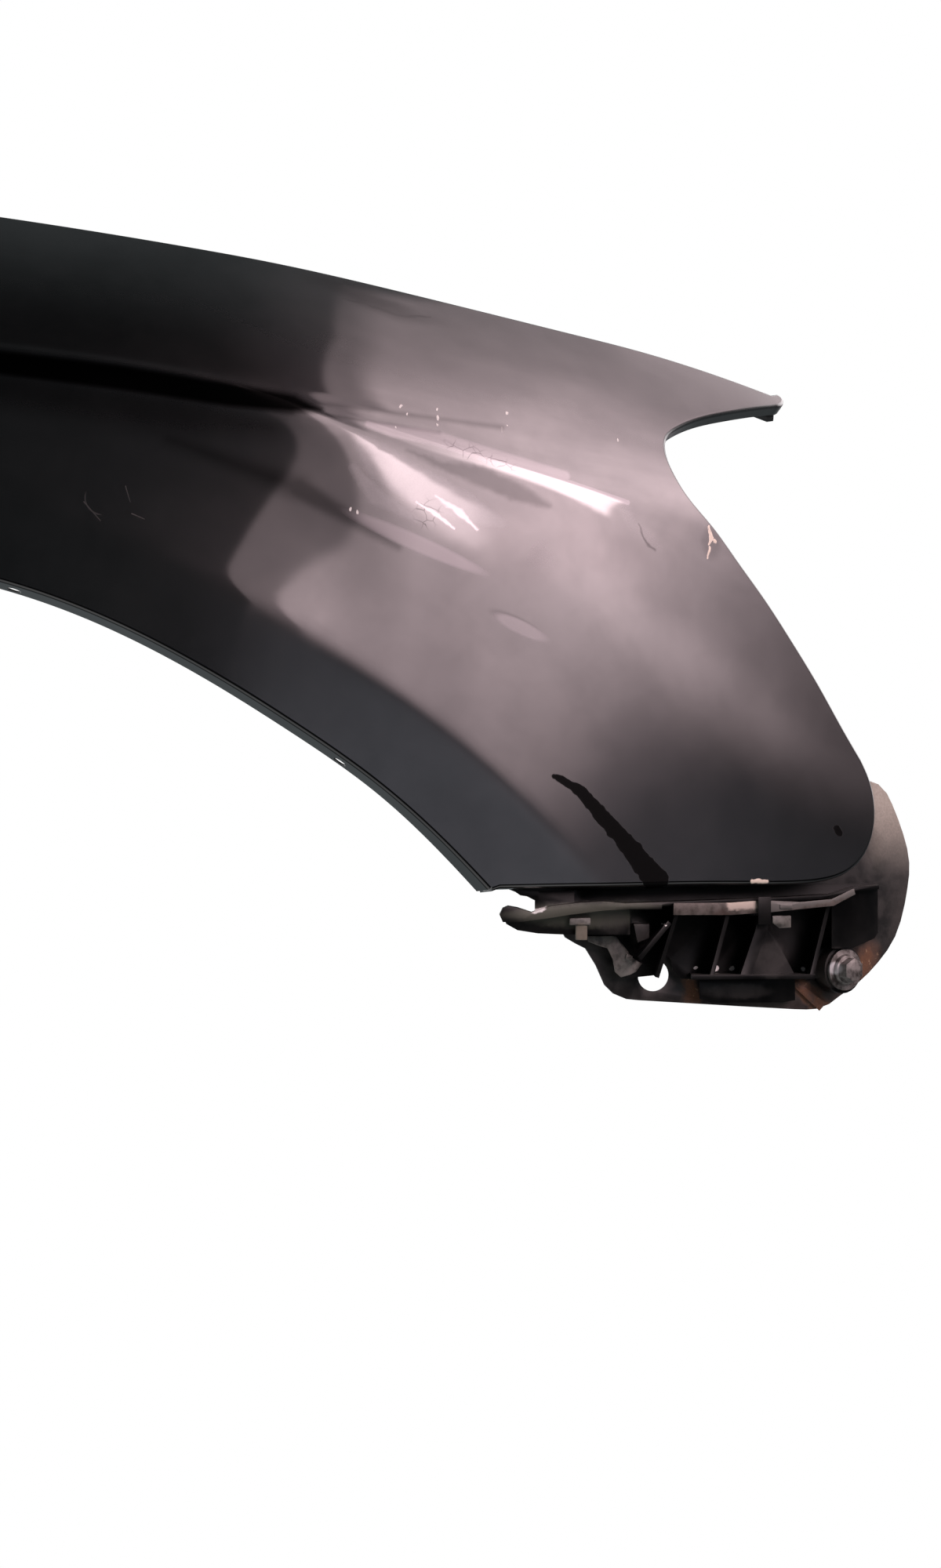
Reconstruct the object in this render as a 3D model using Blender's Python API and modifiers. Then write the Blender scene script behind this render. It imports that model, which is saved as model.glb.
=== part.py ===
"""Front wing (car fender) for the right-hand side, with its bumper-corner bracket.

Row frame: +X runs forward along the car, +Z up, the outer skin faces -Y.
The origin is the underside of the upper bolt flange, straight above the wheel centre.
Lengths below are millimetres; they become metres when a mesh is written.
"""
import math

import bmesh
import bpy
import numpy as np
from mathutils import Matrix, Vector
from mathutils.geometry import delaunay_2d_cdt

for old in list(bpy.data.objects):
    bpy.data.objects.remove(old)

MM = 0.001

# ---------------------------------------------------------------- main sizes
SHEET = 0.8           # pressed steel skin
FOLD = 2.0            # outside radius of every return fold
GAP = 0.3             # clearance left between neighbouring pieces
ARCH_Z = -497.0       # wheel centre height below the datum line
LATTICE = 24.0        # spacing of the points inside the skin
FLANGE_W = 22.0       # outward distance of the bolt line from the datum
FLANGE_Z = 8.0        # height of the bolt flange underside above the datum line
FLARE_BAND = 37.0     # width of the flared face round the wheel arch
FLARE_OUT, FLARE_BLEND, FLARE_SOFT, FLARE_LEAN = 3.0, 85.0, 2.0, 0.05
LIP, LAMP_LIP, SPLIT_LIP, DOOR_LIP, SILL_LIP = 14.0, 11.0, 15.0, 11.0, 18.0


def spline(*stations):
    """A natural cubic through (station, value) pairs, straight beyond its ends."""
    p = np.array(sorted(stations), float)
    x, y, n = p[:, 0], p[:, 1], len(p)
    h = np.diff(x)
    a, r = np.zeros((n, n)), np.zeros(n)
    a[0, 0] = a[-1, -1] = 1
    for i in range(1, n - 1):
        a[i, i - 1:i + 2] = h[i - 1], 2 * (h[i - 1] + h[i]), h[i]
        r[i] = 6 * ((y[i + 1] - y[i]) / h[i] - (y[i] - y[i - 1]) / h[i - 1])
    m = np.linalg.solve(a, r)
    first = (y[1] - y[0]) / h[0] - h[0] * (2 * m[0] + m[1]) / 6
    last = (y[-1] - y[-2]) / h[-1] + h[-1] * (2 * m[-1] + m[-2]) / 6

    def value(q):
        q = np.asarray(q, float)
        i = np.clip(np.searchsorted(x, q) - 1, 0, n - 2)
        at = np.clip(q, x[0], x[-1])
        t, u = at - x[i], x[i + 1] - at
        v = ((m[i] * u ** 3 + m[i + 1] * t ** 3) / (6 * h[i])
             + (y[i] / h[i] - m[i] * h[i] / 6) * u
             + (y[i + 1] / h[i] - m[i + 1] * h[i] / 6) * t)
        return v + np.where(q < x[0], (q - x[0]) * first, 0) + np.where(q > x[-1], (q - x[-1]) * last, 0)
    return value


def ramp(t, soft):
    """0 below 0 and t above it, with the corner rounded over about soft."""
    return soft * np.logaddexp(0, t / soft)


# ------------------------------------------------- the lines of the pressing
# wheel arch radius by angle from straight up, forward positive (degrees)
arch_radius = spline((-140, 385), (-110, 366), (-90, 361), (-60, 359), (-20, 359), (20, 359),
                     (38, 360.5), (46, 366), (56, 373.5), (66, 385))
# bonnet gap line, seen from the side
hood_z = spline((-530, 82), (-400, 74), (-200, 58), (0, 36), (81, 25.5), (168, 12.5), (226, 3.6),
                (285, -7.5), (345, -19.5), (391, -29), (424, -37.5), (456, -47))
# shoulder crease: height, outward place and softness; the slopes above and below it
crease_z = spline((-530, 12), (-300, -6), (0, -34.5), (91, -44.3), (143, -50.2), (180, -56), (200, -60.2),
                  (223, -66.4), (250, -74.4), (285, -84.2), (320, -93.4), (357, -103.4), (373, -108),
                  (430, -129), (490, -151))
crease_w = spline((-530, 96), (-300, 108), (-100, 114), (0, 114), (90, 110), (200, 96), (300, 72),
                  (400, 34), (440, 14), (490, -16))
crease_soft = spline((-530, 1.2), (90, 1.2), (230, 1.8), (285, 2.6), (345, 3.4), (380, 6), (420, 8), (490, 8))
top_slope = spline((-530, .70), (90, .70), (180, .685), (230, .665), (285, .62), (350, .54), (400, .43),
                   (440, .34), (490, .30))
top_round = spline((-530, .0100), (90, .0108), (230, .0116), (310, .0120), (385, .0122), (440, .0124),
                   (490, .0122))
near_slope = spline((-530, -.10), (-200, -.14), (90, -.15), (150, -.13), (190, -.04), (230, .14), (265, .26),
                    (310, .29), (385, .29), (440, .30), (490, .32))
deep_slope = spline((-530, .14), (-200, .22), (90, .23), (180, .22), (230, .195), (285, .165), (350, .135),
                    (420, .115), (490, .10))
slope_fade = spline((-530, 14), (90, 14), (180, 14), (230, 18), (285, 34), (350, 45), (420, 42), (490, 38))
TUCK = .00018


def skin_w(x, z):
    """How far the skin stands outward of the datum at a point of the side view."""
    x = np.clip(np.asarray(x, float), -600, 600)
    z = np.clip(np.asarray(z, float), -700, 150)
    below = crease_z(x) - z
    soft = np.clip(crease_soft(x), .8, 12)
    up, down = ramp(-below, soft), ramp(below, soft)
    fade, deep = slope_fade(x), deep_slope(x)
    w = crease_w(x) - top_slope(x) * up - .5 * top_round(x) * up ** 2
    w = w + deep * down + (near_slope(x) - deep) * fade * (1 - np.exp(-down / fade))
    w = w - TUCK * ramp(down - 60, 20) ** 2
    turn = np.degrees(np.arctan2(x, z - ARCH_Z))
    inside = FLARE_BAND - (np.hypot(x, z - ARCH_Z) - arch_radius(turn))
    rise = np.clip(1 + inside / FLARE_BLEND, 0, None) - ramp(inside, FLARE_SOFT) / FLARE_BLEND
    return w + FLARE_OUT * np.clip(rise, 0, None) ** 2 - FLARE_LEAN * ramp(inside, FLARE_SOFT)


def on_skin(x, z):
    return np.array([x, float(skin_w(x, z)), z])


def skin_normal(x, z):
    e = .25
    n = np.array([-(skin_w(x + e, z) - skin_w(x - e, z)) / (2 * e), 1,
                  -(skin_w(x, z + e) - skin_w(x, z - e)) / (2 * e)], float)
    return n / np.linalg.norm(n)


def row(p):
    """(forward, outward, up) in datum millimetres to the row frame in metres."""
    return Vector((p[0] * MM, (FLANGE_W - p[1]) * MM, (p[2] - FLANGE_Z) * MM))


# ------------------------------------------------------------- the outline
def through(points, step):
    """A smooth line through points, by chord length, sampled every step or so."""
    p = np.array(points, float)
    s = np.concatenate([[0], np.cumsum(np.hypot(*np.diff(p, axis=0).T))])
    fx, fz = spline(*zip(s, p[:, 0])), spline(*zip(s, p[:, 1]))
    q = np.linspace(0, s[-1], max(2, int(round(s[-1] / step)) + 1))
    return np.stack([fx(q), fz(q)], 1)


def arch_point(turn, extra=0.0):
    r = float(arch_radius(turn)) + extra
    a = math.radians(turn)
    return r * math.sin(a), ARCH_Z + r * math.cos(a)


TURN_FRONT, TURN_REAR = 55.5, -106.5
ARCH_FRONT = arch_point(TURN_FRONT, FOLD)
ARCH_REAR = arch_point(TURN_REAR, FOLD)
SPLIT_EDGE = [(ARCH_FRONT[0], -283.4), (334, -283.2), (372, -283), (410, -283), (440, -283.6)]
NOSE_CORNER = [(440, -283.6), (456, -283.4), (468, -282), (477, -279), (483.5, -274), (488.5, -266),
               (491, -256), (490.8, -246), (488.5, -236.5), (484.6, -228)]
LAMP_EDGE = [(484.6, -228), (476, -214), (463.5, -192.5), (449.8, -171), (437, -152), (424.5, -135),
             (412.5, -118.5), (401, -104.5), (393.6, -91.5), (390.4, -81), (391.4, -73.5),
             (397.5, -67.6), (409, -61.6), (424, -56.6), (439, -52.4), (450, -49.8)]
TIP = [(450, -49.8), (453.6, -48.6), (454.6, -46.6), (453, -44.9)]
HOOD_FROM, HOOD_TO = 453.0, -436.0
PILLAR_CORNER = [(HOOD_TO, float(hood_z(HOOD_TO)) - .8), (-470, 70), (-500, 56), (-517, 34), (-524, 4)]
DOOR_EDGE = [(-524, 4), (-528, -80), (-531, -200), (-529, -330), (-520, -450), (-506, -548), (-496, -598)]
BOLT_STATIONS = (-400, -200, 0, 170, 300)   # bolts along the upper flange
PAD_HALF = 17.0                             # half length of the flat pad at each bolt


def outline(step):
    """The skin's edge as named sides, clockwise from the front foot of the arch."""
    front = through(SPLIT_EDGE, step)
    corner = through(NOSE_CORNER, step * .6)
    lamp = through(LAMP_EDGE, step * .6)
    tip = through(TIP, 1.6)
    n = int(round((HOOD_FROM - HOOD_TO) / step))
    x = np.linspace(HOOD_FROM, HOOD_TO, n + 1)
    pads = np.array([s + d for s in BOLT_STATIONS for d in (-PAD_HALF, PAD_HALF)])
    for p in pads:                           # a station falls on each end of a pad
        x[np.abs(x - p).argmin()] = p
    hood = np.stack([x, hood_z(x) - .8], 1)
    pillar = through(PILLAR_CORNER, step * .7)
    door = through(DOOR_EDGE, step)
    sill = through([(-496, -598), (-430, -598.6), ARCH_REAR], step)
    turns = np.linspace(TURN_REAR, TURN_FRONT, int(round(1010 / step)) + 1)
    arch = np.array([arch_point(t, FOLD) for t in turns])
    nose = np.concatenate([front, corner[1:], lamp[1:], tip[1:]])
    nose[0] = arch[-1]
    rear = np.concatenate([pillar, door[1:]])
    hood[0], rear[0] = nose[-1], hood[-1]
    sill[0], sill[-1] = rear[-1], arch[0]
    return {"nose": nose, "hood": hood, "rear": rear, "sill": sill, "arch": arch}


def feature_lines(step):
    """Lines the skin's points follow: both sides of the shoulder crease and of the flare."""
    lines = []
    x = np.arange(-500, 372, step)
    for off in (-3.2, 0, 3.2):
        lines.append(np.stack([x, crease_z(x) + off], 1))
    turns = np.linspace(TURN_REAR + 3, TURN_FRONT - 1.5, int(round(1120 / step)))
    for off in (FLARE_BAND - 5, FLARE_BAND, FLARE_BAND + 5):
        lines.append(np.array([arch_point(t, off) for t in turns]))
    return lines


def inside(points, loop):
    """Which points lie inside a closed loop."""
    x, z = points[:, 0], points[:, 1]
    hit = np.zeros(len(points), bool)
    for (x0, z0), (x1, z1) in zip(loop, np.roll(loop, -1, 0)):
        cross = (z0 > z) != (z1 > z)
        with np.errstate(divide="ignore", invalid="ignore"):
            hit ^= cross & (x < (x1 - x0) * (z - z0) / (z1 - z0) + x0)
    return hit


def fill(loop, lines, spacing, clear=.62):
    """Triangles over a closed loop with evenly staggered points inside it."""
    lo, hi = loop.min(0), loop.max(0)
    rows = np.arange(lo[1], hi[1], spacing * math.sqrt(3) / 2)
    grid = np.array([(x + (i % 2) * spacing / 2, z) for i, z in enumerate(rows)
                     for x in np.arange(lo[0], hi[0], spacing)])
    grid = grid[inside(grid, loop)]
    fixed = [p for line in lines for p in line[inside(line, loop)]]
    near = np.concatenate([loop] + [line for line in lines])
    keep = np.array([np.hypot(*(near - g).T).min() > spacing * clear for g in grid])
    edge_clear = np.array([np.hypot(*(loop - p).T).min() > spacing * .22 for p in fixed]) if fixed else np.array([], bool)
    fixed = np.array(fixed)[edge_clear] if fixed else np.zeros((0, 2))
    points = np.concatenate([loop, fixed, grid[keep]])
    n = len(loop)
    edges = [(i, (i + 1) % n) for i in range(n)]
    made = delaunay_2d_cdt([Vector(p) for p in points], edges, [list(range(n))], 1, 1e-6)
    return np.array([tuple(v) for v in made[0]]), [tuple(f) for f in made[2]], made[3]


# ---------------------------------------------------------- return flanges
def fold_columns(side, length, degrees=90.0, arc=2):
    """For each edge point, the points of a fold and a straight flange behind it."""
    p = np.array([on_skin(x, z) for x, z in side])
    t = np.gradient(p, axis=0)
    columns = []
    for i, (x, z) in enumerate(side):
        n = skin_normal(x, z)
        along = t[i] - n * (t[i] @ n)
        out = np.cross(n, along / np.linalg.norm(along))
        out /= np.linalg.norm(out)
        reach = length(i / (len(side) - 1)) if callable(length) else length
        column = []
        for k in range(1, arc + 1):
            a = math.radians(degrees) * k / arc
            column.append(p[i] + FOLD * (math.sin(a) * out - (1 - math.cos(a)) * n))
        a = math.radians(degrees)
        column.append(column[-1] + reach * (math.cos(a) * out - math.sin(a) * n))
        columns.append(column)
    return columns


def flange_level(x):
    """Upper flange height: level at each bolt pad, sloping between them."""
    xs, zs = [], []
    for s in BOLT_STATIONS:
        z = FLANGE_Z + SHEET if s == 0 else round(float(hood_z(s)) - 28.0)
        xs += [s - PAD_HALF, s + PAD_HALF]
        zs += [z, z]
    xs = [-460] + xs + [380, 460]
    zs = [zs[0] + 3] + zs + [-52, -60]
    return np.interp(x, xs, zs)


def hood_columns(side, arc=3):
    """The upper edge folds down into a wall, then inboard into the bolt flange."""
    columns = []
    for x, z in side:
        p, n = on_skin(x, z), skin_normal(x, z)
        along = np.array([-1.0, (skin_w(x - 1, hood_z(x - 1)) - skin_w(x, hood_z(x))), hood_z(x - 1) - hood_z(x)])
        along /= np.linalg.norm(along)
        out = np.cross(n, along)
        out /= np.linalg.norm(out)
        if out[1] > 0:
            out = -out
        down = np.array([0, -.10, -1.0])
        down /= np.linalg.norm(down)
        total = math.acos(float(np.clip(out @ down, -1, 1)))
        column = []
        for k in range(1, arc + 1):
            a = total * k / arc
            column.append(p + FOLD * (math.sin(a) * out - (1 - math.cos(a)) * n))
        top = column[-1]
        level = float(flange_level(x))
        share = float(np.clip((x - 352) / 60, 0, 1))
        depth = (1 - share) * (top[2] - level - FOLD) + share * min(8.0, top[2] - level - FOLD)
        wide = 29.0 * (1 - share) + 1.6 * share
        foot = top + down * depth / abs(down[2])
        column.append(foot)
        for a in (45, 90):                  # fold inboard
            r = math.radians(a)
            column.append(foot + np.array([0, -FOLD * (1 - math.cos(r)), -FOLD * math.sin(r)]))
        edge = column[-1]
        column.append(edge + np.array([0, -wide * .5, 0]))
        column.append(edge + np.array([0, -wide, 0]))
        columns.append(column)
    return columns


def skin_mesh(spacing, step):
    """The whole pressing as one open sheet, in row-frame metres, with its edge flanges."""
    sides = outline(step)
    loop = np.concatenate([sides[k][:-1] for k in ("nose", "hood", "rear", "sill", "arch")])
    flat, faces, origin = fill(loop, feature_lines(step * .8), spacing)
    points = [on_skin(x, z) for x, z in flat]
    faces = [tuple(f) for f in faces]
    at = {}
    for i, (x, z) in enumerate(flat):
        at[(round(float(x), 3), round(float(z), 3))] = i
    def index_of(p):
        key = (round(float(p[0]), 3), round(float(p[1]), 3))
        return at[key] if key in at else int(np.hypot(*(flat - p).T).argmin())
    widths = {"nose": lambda s: (SPLIT_LIP if s < .3 else LAMP_LIP + (SPLIT_LIP - LAMP_LIP) * max(0, 1 - (s - .3) / .12)) if s < .93 else 6.5,
              "rear": DOOR_LIP, "sill": SILL_LIP, "arch": LIP}
    for name, side in sides.items():
        columns = hood_columns(side) if name == "hood" else fold_columns(side, widths[name])
        base = [index_of(p) for p in side]
        ids = []
        for b, column in zip(base, columns):
            ids.append([b] + list(range(len(points), len(points) + len(column))))
            points.extend(column)
        for a, b in zip(ids, ids[1:]):
            for k in range(len(a) - 1):
                faces.append((a[k], a[k + 1], b[k + 1], b[k]))
    return points, faces


def make_mesh(name, points, faces):
    mesh = bpy.data.meshes.new(name)
    mesh.from_pydata([row(p) for p in points], [], faces)
    bm = bmesh.new()
    bm.from_mesh(mesh)
    bmesh.ops.remove_doubles(bm, verts=bm.verts, dist=1e-6)
    bmesh.ops.recalc_face_normals(bm, faces=bm.faces)
    outer = max(bm.faces, key=lambda f: f.calc_area())
    if outer.normal.y > 0:
        bmesh.ops.reverse_faces(bm, faces=bm.faces)
    bm.to_mesh(mesh)
    bm.free()
    return mesh


# ------------------------------------------------------------ scene and finish
parts = bpy.data.collections.new("car_fender")
cutters = bpy.data.collections.new("cutters")
bpy.context.scene.collection.children.link(parts)
bpy.context.scene.collection.children.link(cutters)
cutters.hide_render = True


def finish_of(name, colour, roughness, metallic):
    mat = bpy.data.materials.new(name)
    mat.use_nodes = True
    shader = mat.node_tree.nodes["Principled BSDF"]
    shader.inputs["Base Color"].default_value = (*colour, 1)
    shader.inputs["Roughness"].default_value = roughness
    shader.inputs["Metallic"].default_value = metallic
    return mat


PAINT = finish_of("graphite_paint", (.030, .027, .030), .22, .6)
PRIMER = finish_of("dark_primer", (.018, .017, .018), .5, .3)
MOULDED = finish_of("black_plastic", (.010, .010, .011), .38, 0)
GREY_PLASTIC = finish_of("grey_plastic", (.075, .07, .062), .5, 0)
DULL_STEEL = finish_of("dull_steel", (.13, .10, .085), .55, .8)
ZINC = finish_of("zinc_plate", (.33, .31, .29), .38, .9)


def new_object(name, mesh, mat, where=parts):
    obj = bpy.data.objects.new(name, mesh)
    where.objects.link(obj)
    if mat:
        mesh.materials.append(mat)
    if where is cutters:
        obj.hide_render = True
        obj.display_type = "WIRE"
    return obj


def evaluated_copy(obj):
    """The object's mesh with its modifiers worked in."""
    bpy.context.view_layer.update()
    graph = bpy.context.evaluated_depsgraph_get()
    return bpy.data.meshes.new_from_object(obj.evaluated_get(graph))


def sheet(obj, thickness, inward=True):
    mod = obj.modifiers.new("sheet", "SOLIDIFY")
    mod.thickness = thickness * MM
    mod.offset = -1 if inward else 1
    mod.use_even_offset = True
    mod.use_quality_normals = True
    return mod


def rod(name, at, axis, radius, length, mat, where=parts, sides=16, top=None):
    """A cylinder or cone centred at a datum point, along a datum direction."""
    mesh = bpy.data.meshes.new(name)
    bm = bmesh.new()
    bmesh.ops.create_cone(bm, cap_ends=True, segments=sides, radius1=radius * MM,
                          radius2=(radius if top is None else top) * MM, depth=length * MM)
    way = row(np.array(at) + np.array(axis, float)) - row(at)
    turn = way.normalized().to_track_quat("Z", "Y").to_matrix().to_4x4()
    bm.transform(Matrix.Translation(row(at)) @ turn)
    bm.to_mesh(mesh)
    bm.free()
    return new_object(name, mesh, mat, where)


def cut_with(obj, tools, operation="DIFFERENCE"):
    """Work tools into an object's own mesh, and clear them away."""
    for tool in tools:
        mod = obj.modifiers.new("cut", "BOOLEAN")
        mod.operation = operation
        mod.object = tool
    mesh = evaluated_copy(obj)
    obj.modifiers.clear()
    obj.data = mesh
    for tool in tools:
        bpy.data.objects.remove(tool)
    return obj


# ------------------------------------------------------------- the outer skin
points, faces = skin_mesh(LATTICE, 18.0)
panel = new_object("fender_panel", make_mesh("fender_panel", points, faces), PAINT)
sheet(panel, SHEET)
tools = []
for station in BOLT_STATIONS:               # slotted bolt holes; the middle one sits ahead of the datum
    x = station + (12 if station == 0 else 0)
    z = float(flange_level(station))
    w = float(skin_w(x, hood_z(x))) - 18.0
    tools.append(rod("bolt_hole", (x, w, z), (0, 0, 1), 4.0, 8.0, None, cutters))
for turn in (-84, -48, -14, 16, 42):        # liner fixing holes through the arch lip
    x, z = arch_point(turn)
    w = float(skin_w(*arch_point(turn, FOLD))) - FOLD - .55 * LIP
    tools.append(rod("lip_hole", (x, w, z), (x, 0, z - ARCH_Z), 3.2, 10.0, None, cutters, 12))
x = -440.0                                  # sill fixing hole through the lower flange
tools.append(rod("sill_hole", (x, float(skin_w(x, -598)) - 12, -600.5), (0, 0, 1), 4.0, 9.0, None, cutters))
cut_with(panel, tools)

# ----------------------------------------------- the bumper-corner assembly
# It follows the lower split edge in plan. Its parts are drawn straight, as (forward, depth
# behind the edge, up), and then bent along the edge.
SPLIT_Z = -283.2


def edge_w(x):
    return skin_w(x, SPLIT_Z)


def prism(name, outline, near, far, mat=None, where=cutters):
    """A flat outline (forward, up) given depth from near to far behind the split edge."""
    mesh = bpy.data.meshes.new(name)
    bm = bmesh.new()
    face = bm.faces.new([bm.verts.new((x, near, z)) for x, z in outline])
    made = bmesh.ops.extrude_face_region(bm, geom=[face])["geom"]
    bmesh.ops.translate(bm, vec=(0, far - near, 0), verts=[v for v in made if isinstance(v, bmesh.types.BMVert)])
    bmesh.ops.recalc_face_normals(bm, faces=bm.faces)
    bm.to_mesh(mesh)
    bm.free()
    return new_object(name, mesh, mat, where)


def bar(name, a, b, width, near, far):
    """A straight bar between two side-view points."""
    a, b = np.array(a, float), np.array(b, float)
    side = np.array([-(b - a)[1], (b - a)[0]]) / np.hypot(*(b - a)) * width / 2
    return prism(name, [a - side, b - side, b + side, a + side], near, far)


def bend(obj, every=14.0):
    """Cut the straight-drawn piece into short lengths and lay it along the split edge."""
    bm = bmesh.new()
    bm.from_mesh(obj.data)
    xs = [v.co.x for v in bm.verts]
    for x in np.arange(math.ceil(min(xs) / every) * every + .37, max(xs), every):
        bmesh.ops.bisect_plane(bm, geom=bm.verts[:] + bm.edges[:] + bm.faces[:], dist=1e-4,
                               plane_co=(x, 0, 0), plane_no=(1, 0, 0))
    bmesh.ops.triangulate(bm, faces=bm.faces)
    for v in bm.verts:
        v.co = row((v.co.x, float(edge_w(v.co.x)) - v.co.y, v.co.z))
    bmesh.ops.recalc_face_normals(bm, faces=bm.faces)
    bm.to_mesh(obj.data)
    bm.free()
    return obj


def joined(name, solids, mat, every=14.0):
    """One moulding made of overlapping straight-drawn solids, bent along the split edge."""
    first = solids[0]
    cut_with(first, solids[1:], "UNION")
    cutters.objects.unlink(first)
    parts.objects.link(first)
    first.name = first.data.name = name
    first.hide_render, first.display_type = False, "TEXTURED"
    first.data.materials.clear()
    first.data.materials.append(mat)
    return bend(first, every)


WALL = 20.0            # depth of the bracket's back wall behind the split edge
PLATE_DEPTH = 24.5     # depth of the support plate's near face
bracket = joined("bumper_bracket", [
    prism("back_wall", [(345, -286.9), (494.6, -286.4), (494.8, -310), (493, -313), (482.5, -317.3),
                        (482, -331), (452, -331), (405, -329.6), (397.5, -329), (393.4, -325), (392, -319.5),
                        (388.6, -317.4), (387.7, -318.6), (385.1, -327), (371, -328), (364.2, -320),
                        (357, -310), (345, -305)], WALL, WALL + 2.4),
    prism("upper_web", [(328.6, -286.9), (346.5, -287.3), (346.5, -297), (328.6, -297)], 10, 12.4),
    prism("web_return", [(344.4, -287.1), (346.6, -287.1), (346.6, -303), (344.4, -303)], 10.2, WALL + 1),
    prism("hanging_tab", [(319, -286.7), (330.3, -286.7), (330.3, -290.6), (327.6, -289.7), (322, -288.8)], 8, 12.2),
    prism("arm", [(312.6, -297.2), (314, -294.4), (316.4, -293.4), (320.7, -294.2), (327.1, -296.4),
                  (336, -293.5), (347.9, -292.3), (359.9, -291.8), (372, -293.2), (387, -293.9), (387, -295.9),
                  (372, -295.6), (359.8, -295.9), (344.2, -297.6), (336, -298.8), (320.7, -300.6), (314, -300.4)],
          1.2, 15),
    prism("arm_belly", [(314.4, -298.5), (330, -296.8), (345, -295), (372.3, -294.6), (372.3, -307.4), (358, -307),
                        (341.7, -306.7), (329.9, -306), (320.7, -304.4), (315.6, -301.5)], 7.4, 13.6),
    prism("arm_root", [(358.6, -294.9), (372, -294.9), (372, -307.6), (358.6, -307.2)], 9.2, WALL + 1.2),
    prism("roof", [(346, -293.4), (440, -291.9), (470, -290.9), (482, -287.6), (494.4, -286.9), (494.4, -288.9),
                   (482.5, -289.6), (470.5, -292.7), (440, -293.7), (346, -295.2)], 3.8, WALL + 1.1),
    prism("boss", [(374.1, -302.6), (381.4, -302.9), (381.4, -309.1), (376, -311.1)], 8, WALL + 1.3),
    bar("stay", (376.6, -318.2), (390.8, -302.1), 2.2, 3.2, WALL + 1.4),
    bar("rib_1", (396, -293), (384.9, -327.2), 1.8, 4.4, WALL + 1.5),
    bar("rib_2", (420.5, -292.9), (410.6, -328.6), 1.9, 4.3, WALL + 1.6),
    prism("rib_3", [(433.4, -300.4), (439.4, -300.4), (438, -307), (429.4, -328.6), (424.4, -328.4), (432, -307)],
          4.1, WALL + 1.7),
    prism("post", [(433.2, -291.2), (439.4, -291.2), (439.4, -302.6), (433.2, -302.6)], .2, 1.7),
    prism("post_foot", [(433.5, -300.2), (439.2, -300.2), (438.8, -303.9), (433.1, -303.9)], .5, 6),
    prism("gusset", [(437.6, -305.5), (443.6, -312.9), (452.4, -329), (428.6, -328)], 9.5, WALL + 1.8),
    bar("rib_4", (469.8, -291.6), (460, -329), 1.9, 4.5, WALL + 1.9),
    prism("ledge", [(401.4, -326.4), (452.4, -327.8), (461.6, -328.2), (461.6, -330.4), (452.4, -330),
                    (401.4, -328.6)], 3.6, WALL + 2.0),
    prism("skirt", [(406, -328.8), (453, -330), (453.2, -341), (447, -341.8), (412, -340.6), (406, -338.6)], 18.4, 20.6),
    prism("end_face", [(470.5, -291.5), (482, -288.2), (494.2, -287.4), (494.2, -309.8), (492.6, -312.4),
                       (481.6, -316.6), (470.5, -316.6)], 7.6, 9.4),
    prism("end_wall", [(492.6, -287.2), (494.3, -287.2), (494.3, -309.9), (492.6, -309.9)], 7.8, WALL + 1.2),
    prism("end_floor", [(480.5, -314.9), (492, -310.2), (493.4, -311.6), (481.3, -316.5)], 7.9, WALL + 1.3),
], MOULDED)

# the bolt stands square to the bracket's slope in plan
BOLT_X, BOLT_Z = 473.6, -327.0
lean = (float(edge_w(BOLT_X + 6)) - float(edge_w(BOLT_X - 6))) / 12
AXIS = np.array([-lean, 1.0, 0.0]) / math.hypot(lean, 1)
BOLT_AT = np.array([BOLT_X, float(edge_w(BOLT_X)) - WALL, BOLT_Z])


def on_bolt(out):
    """A point on the bolt's axis, out millimetres outward of the back wall."""
    return tuple(BOLT_AT + AXIS * out)


PAD_FACE = 6.4         # height of the bolt boss above the back wall
boss = rod("bolt_boss", on_bolt(PAD_FACE / 2 - 1.4), AXIS, 11.4, PAD_FACE + 2.2, None, cutters, 28)
cut_with(bracket, [boss], "UNION")
cut_with(bracket, [rod("bolt_bore", on_bolt(0), AXIS, 3.6, 40, None, cutters, 16)])

# the steel plate behind the bracket, running up inside the nose of the skin
PLATE_EDGE = [(343.1, -308.8), (352.6, -314.1), (357.4, -321.8), (361.5, -331), (365.6, -335.1), (371.9, -337.9),
              (384.4, -339.2), (410.3, -341.7), (440, -344.4), (464.8, -346), (476.5, -340.4), (491.6, -329.9),
              (505.6, -312.8), (512.2, -289.3), (512.2, -270.1), (501.8, -243.3), (492, -237), (474, -231),
              (460, -215), (438, -208), (412, -214), (394, -232), (372, -247), (346, -262), (326, -272),
              (317.5, -281), (317.5, -286.6), (326, -290), (337, -297)]


def plate_depth(x, z):
    """Deep behind the bracket, easing out to the skin's inner face higher up."""
    a = np.clip((np.asarray(z, float) + 264) / 48, 0, 1)
    b = np.clip((486 - np.asarray(x, float)) / 40, 0, 1)
    a, b = a * a * (3 - 2 * a), b * b * (3 - 2 * b)
    return PLATE_DEPTH - (PLATE_DEPTH - 2.6) * a * b


def rounded(corners, step):
    """A closed smooth outline through its corners, with points every step or so."""
    p = np.array(corners, float)
    out = []
    for i, (a, b) in enumerate(zip(p, np.roll(p, -1, 0))):
        before, after = p[i - 1], p[(i + 2) % len(p)]
        n = max(1, int(round(np.hypot(*(b - a)) / step)))
        for k in range(n):
            t = k / n
            out.append(.5 * (2 * a + (b - before) * t + (2 * before - 5 * a + 4 * b - after) * t ** 2
                             + (3 * a - before - 3 * b + after) * t ** 3))
    return np.array(out)


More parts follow.
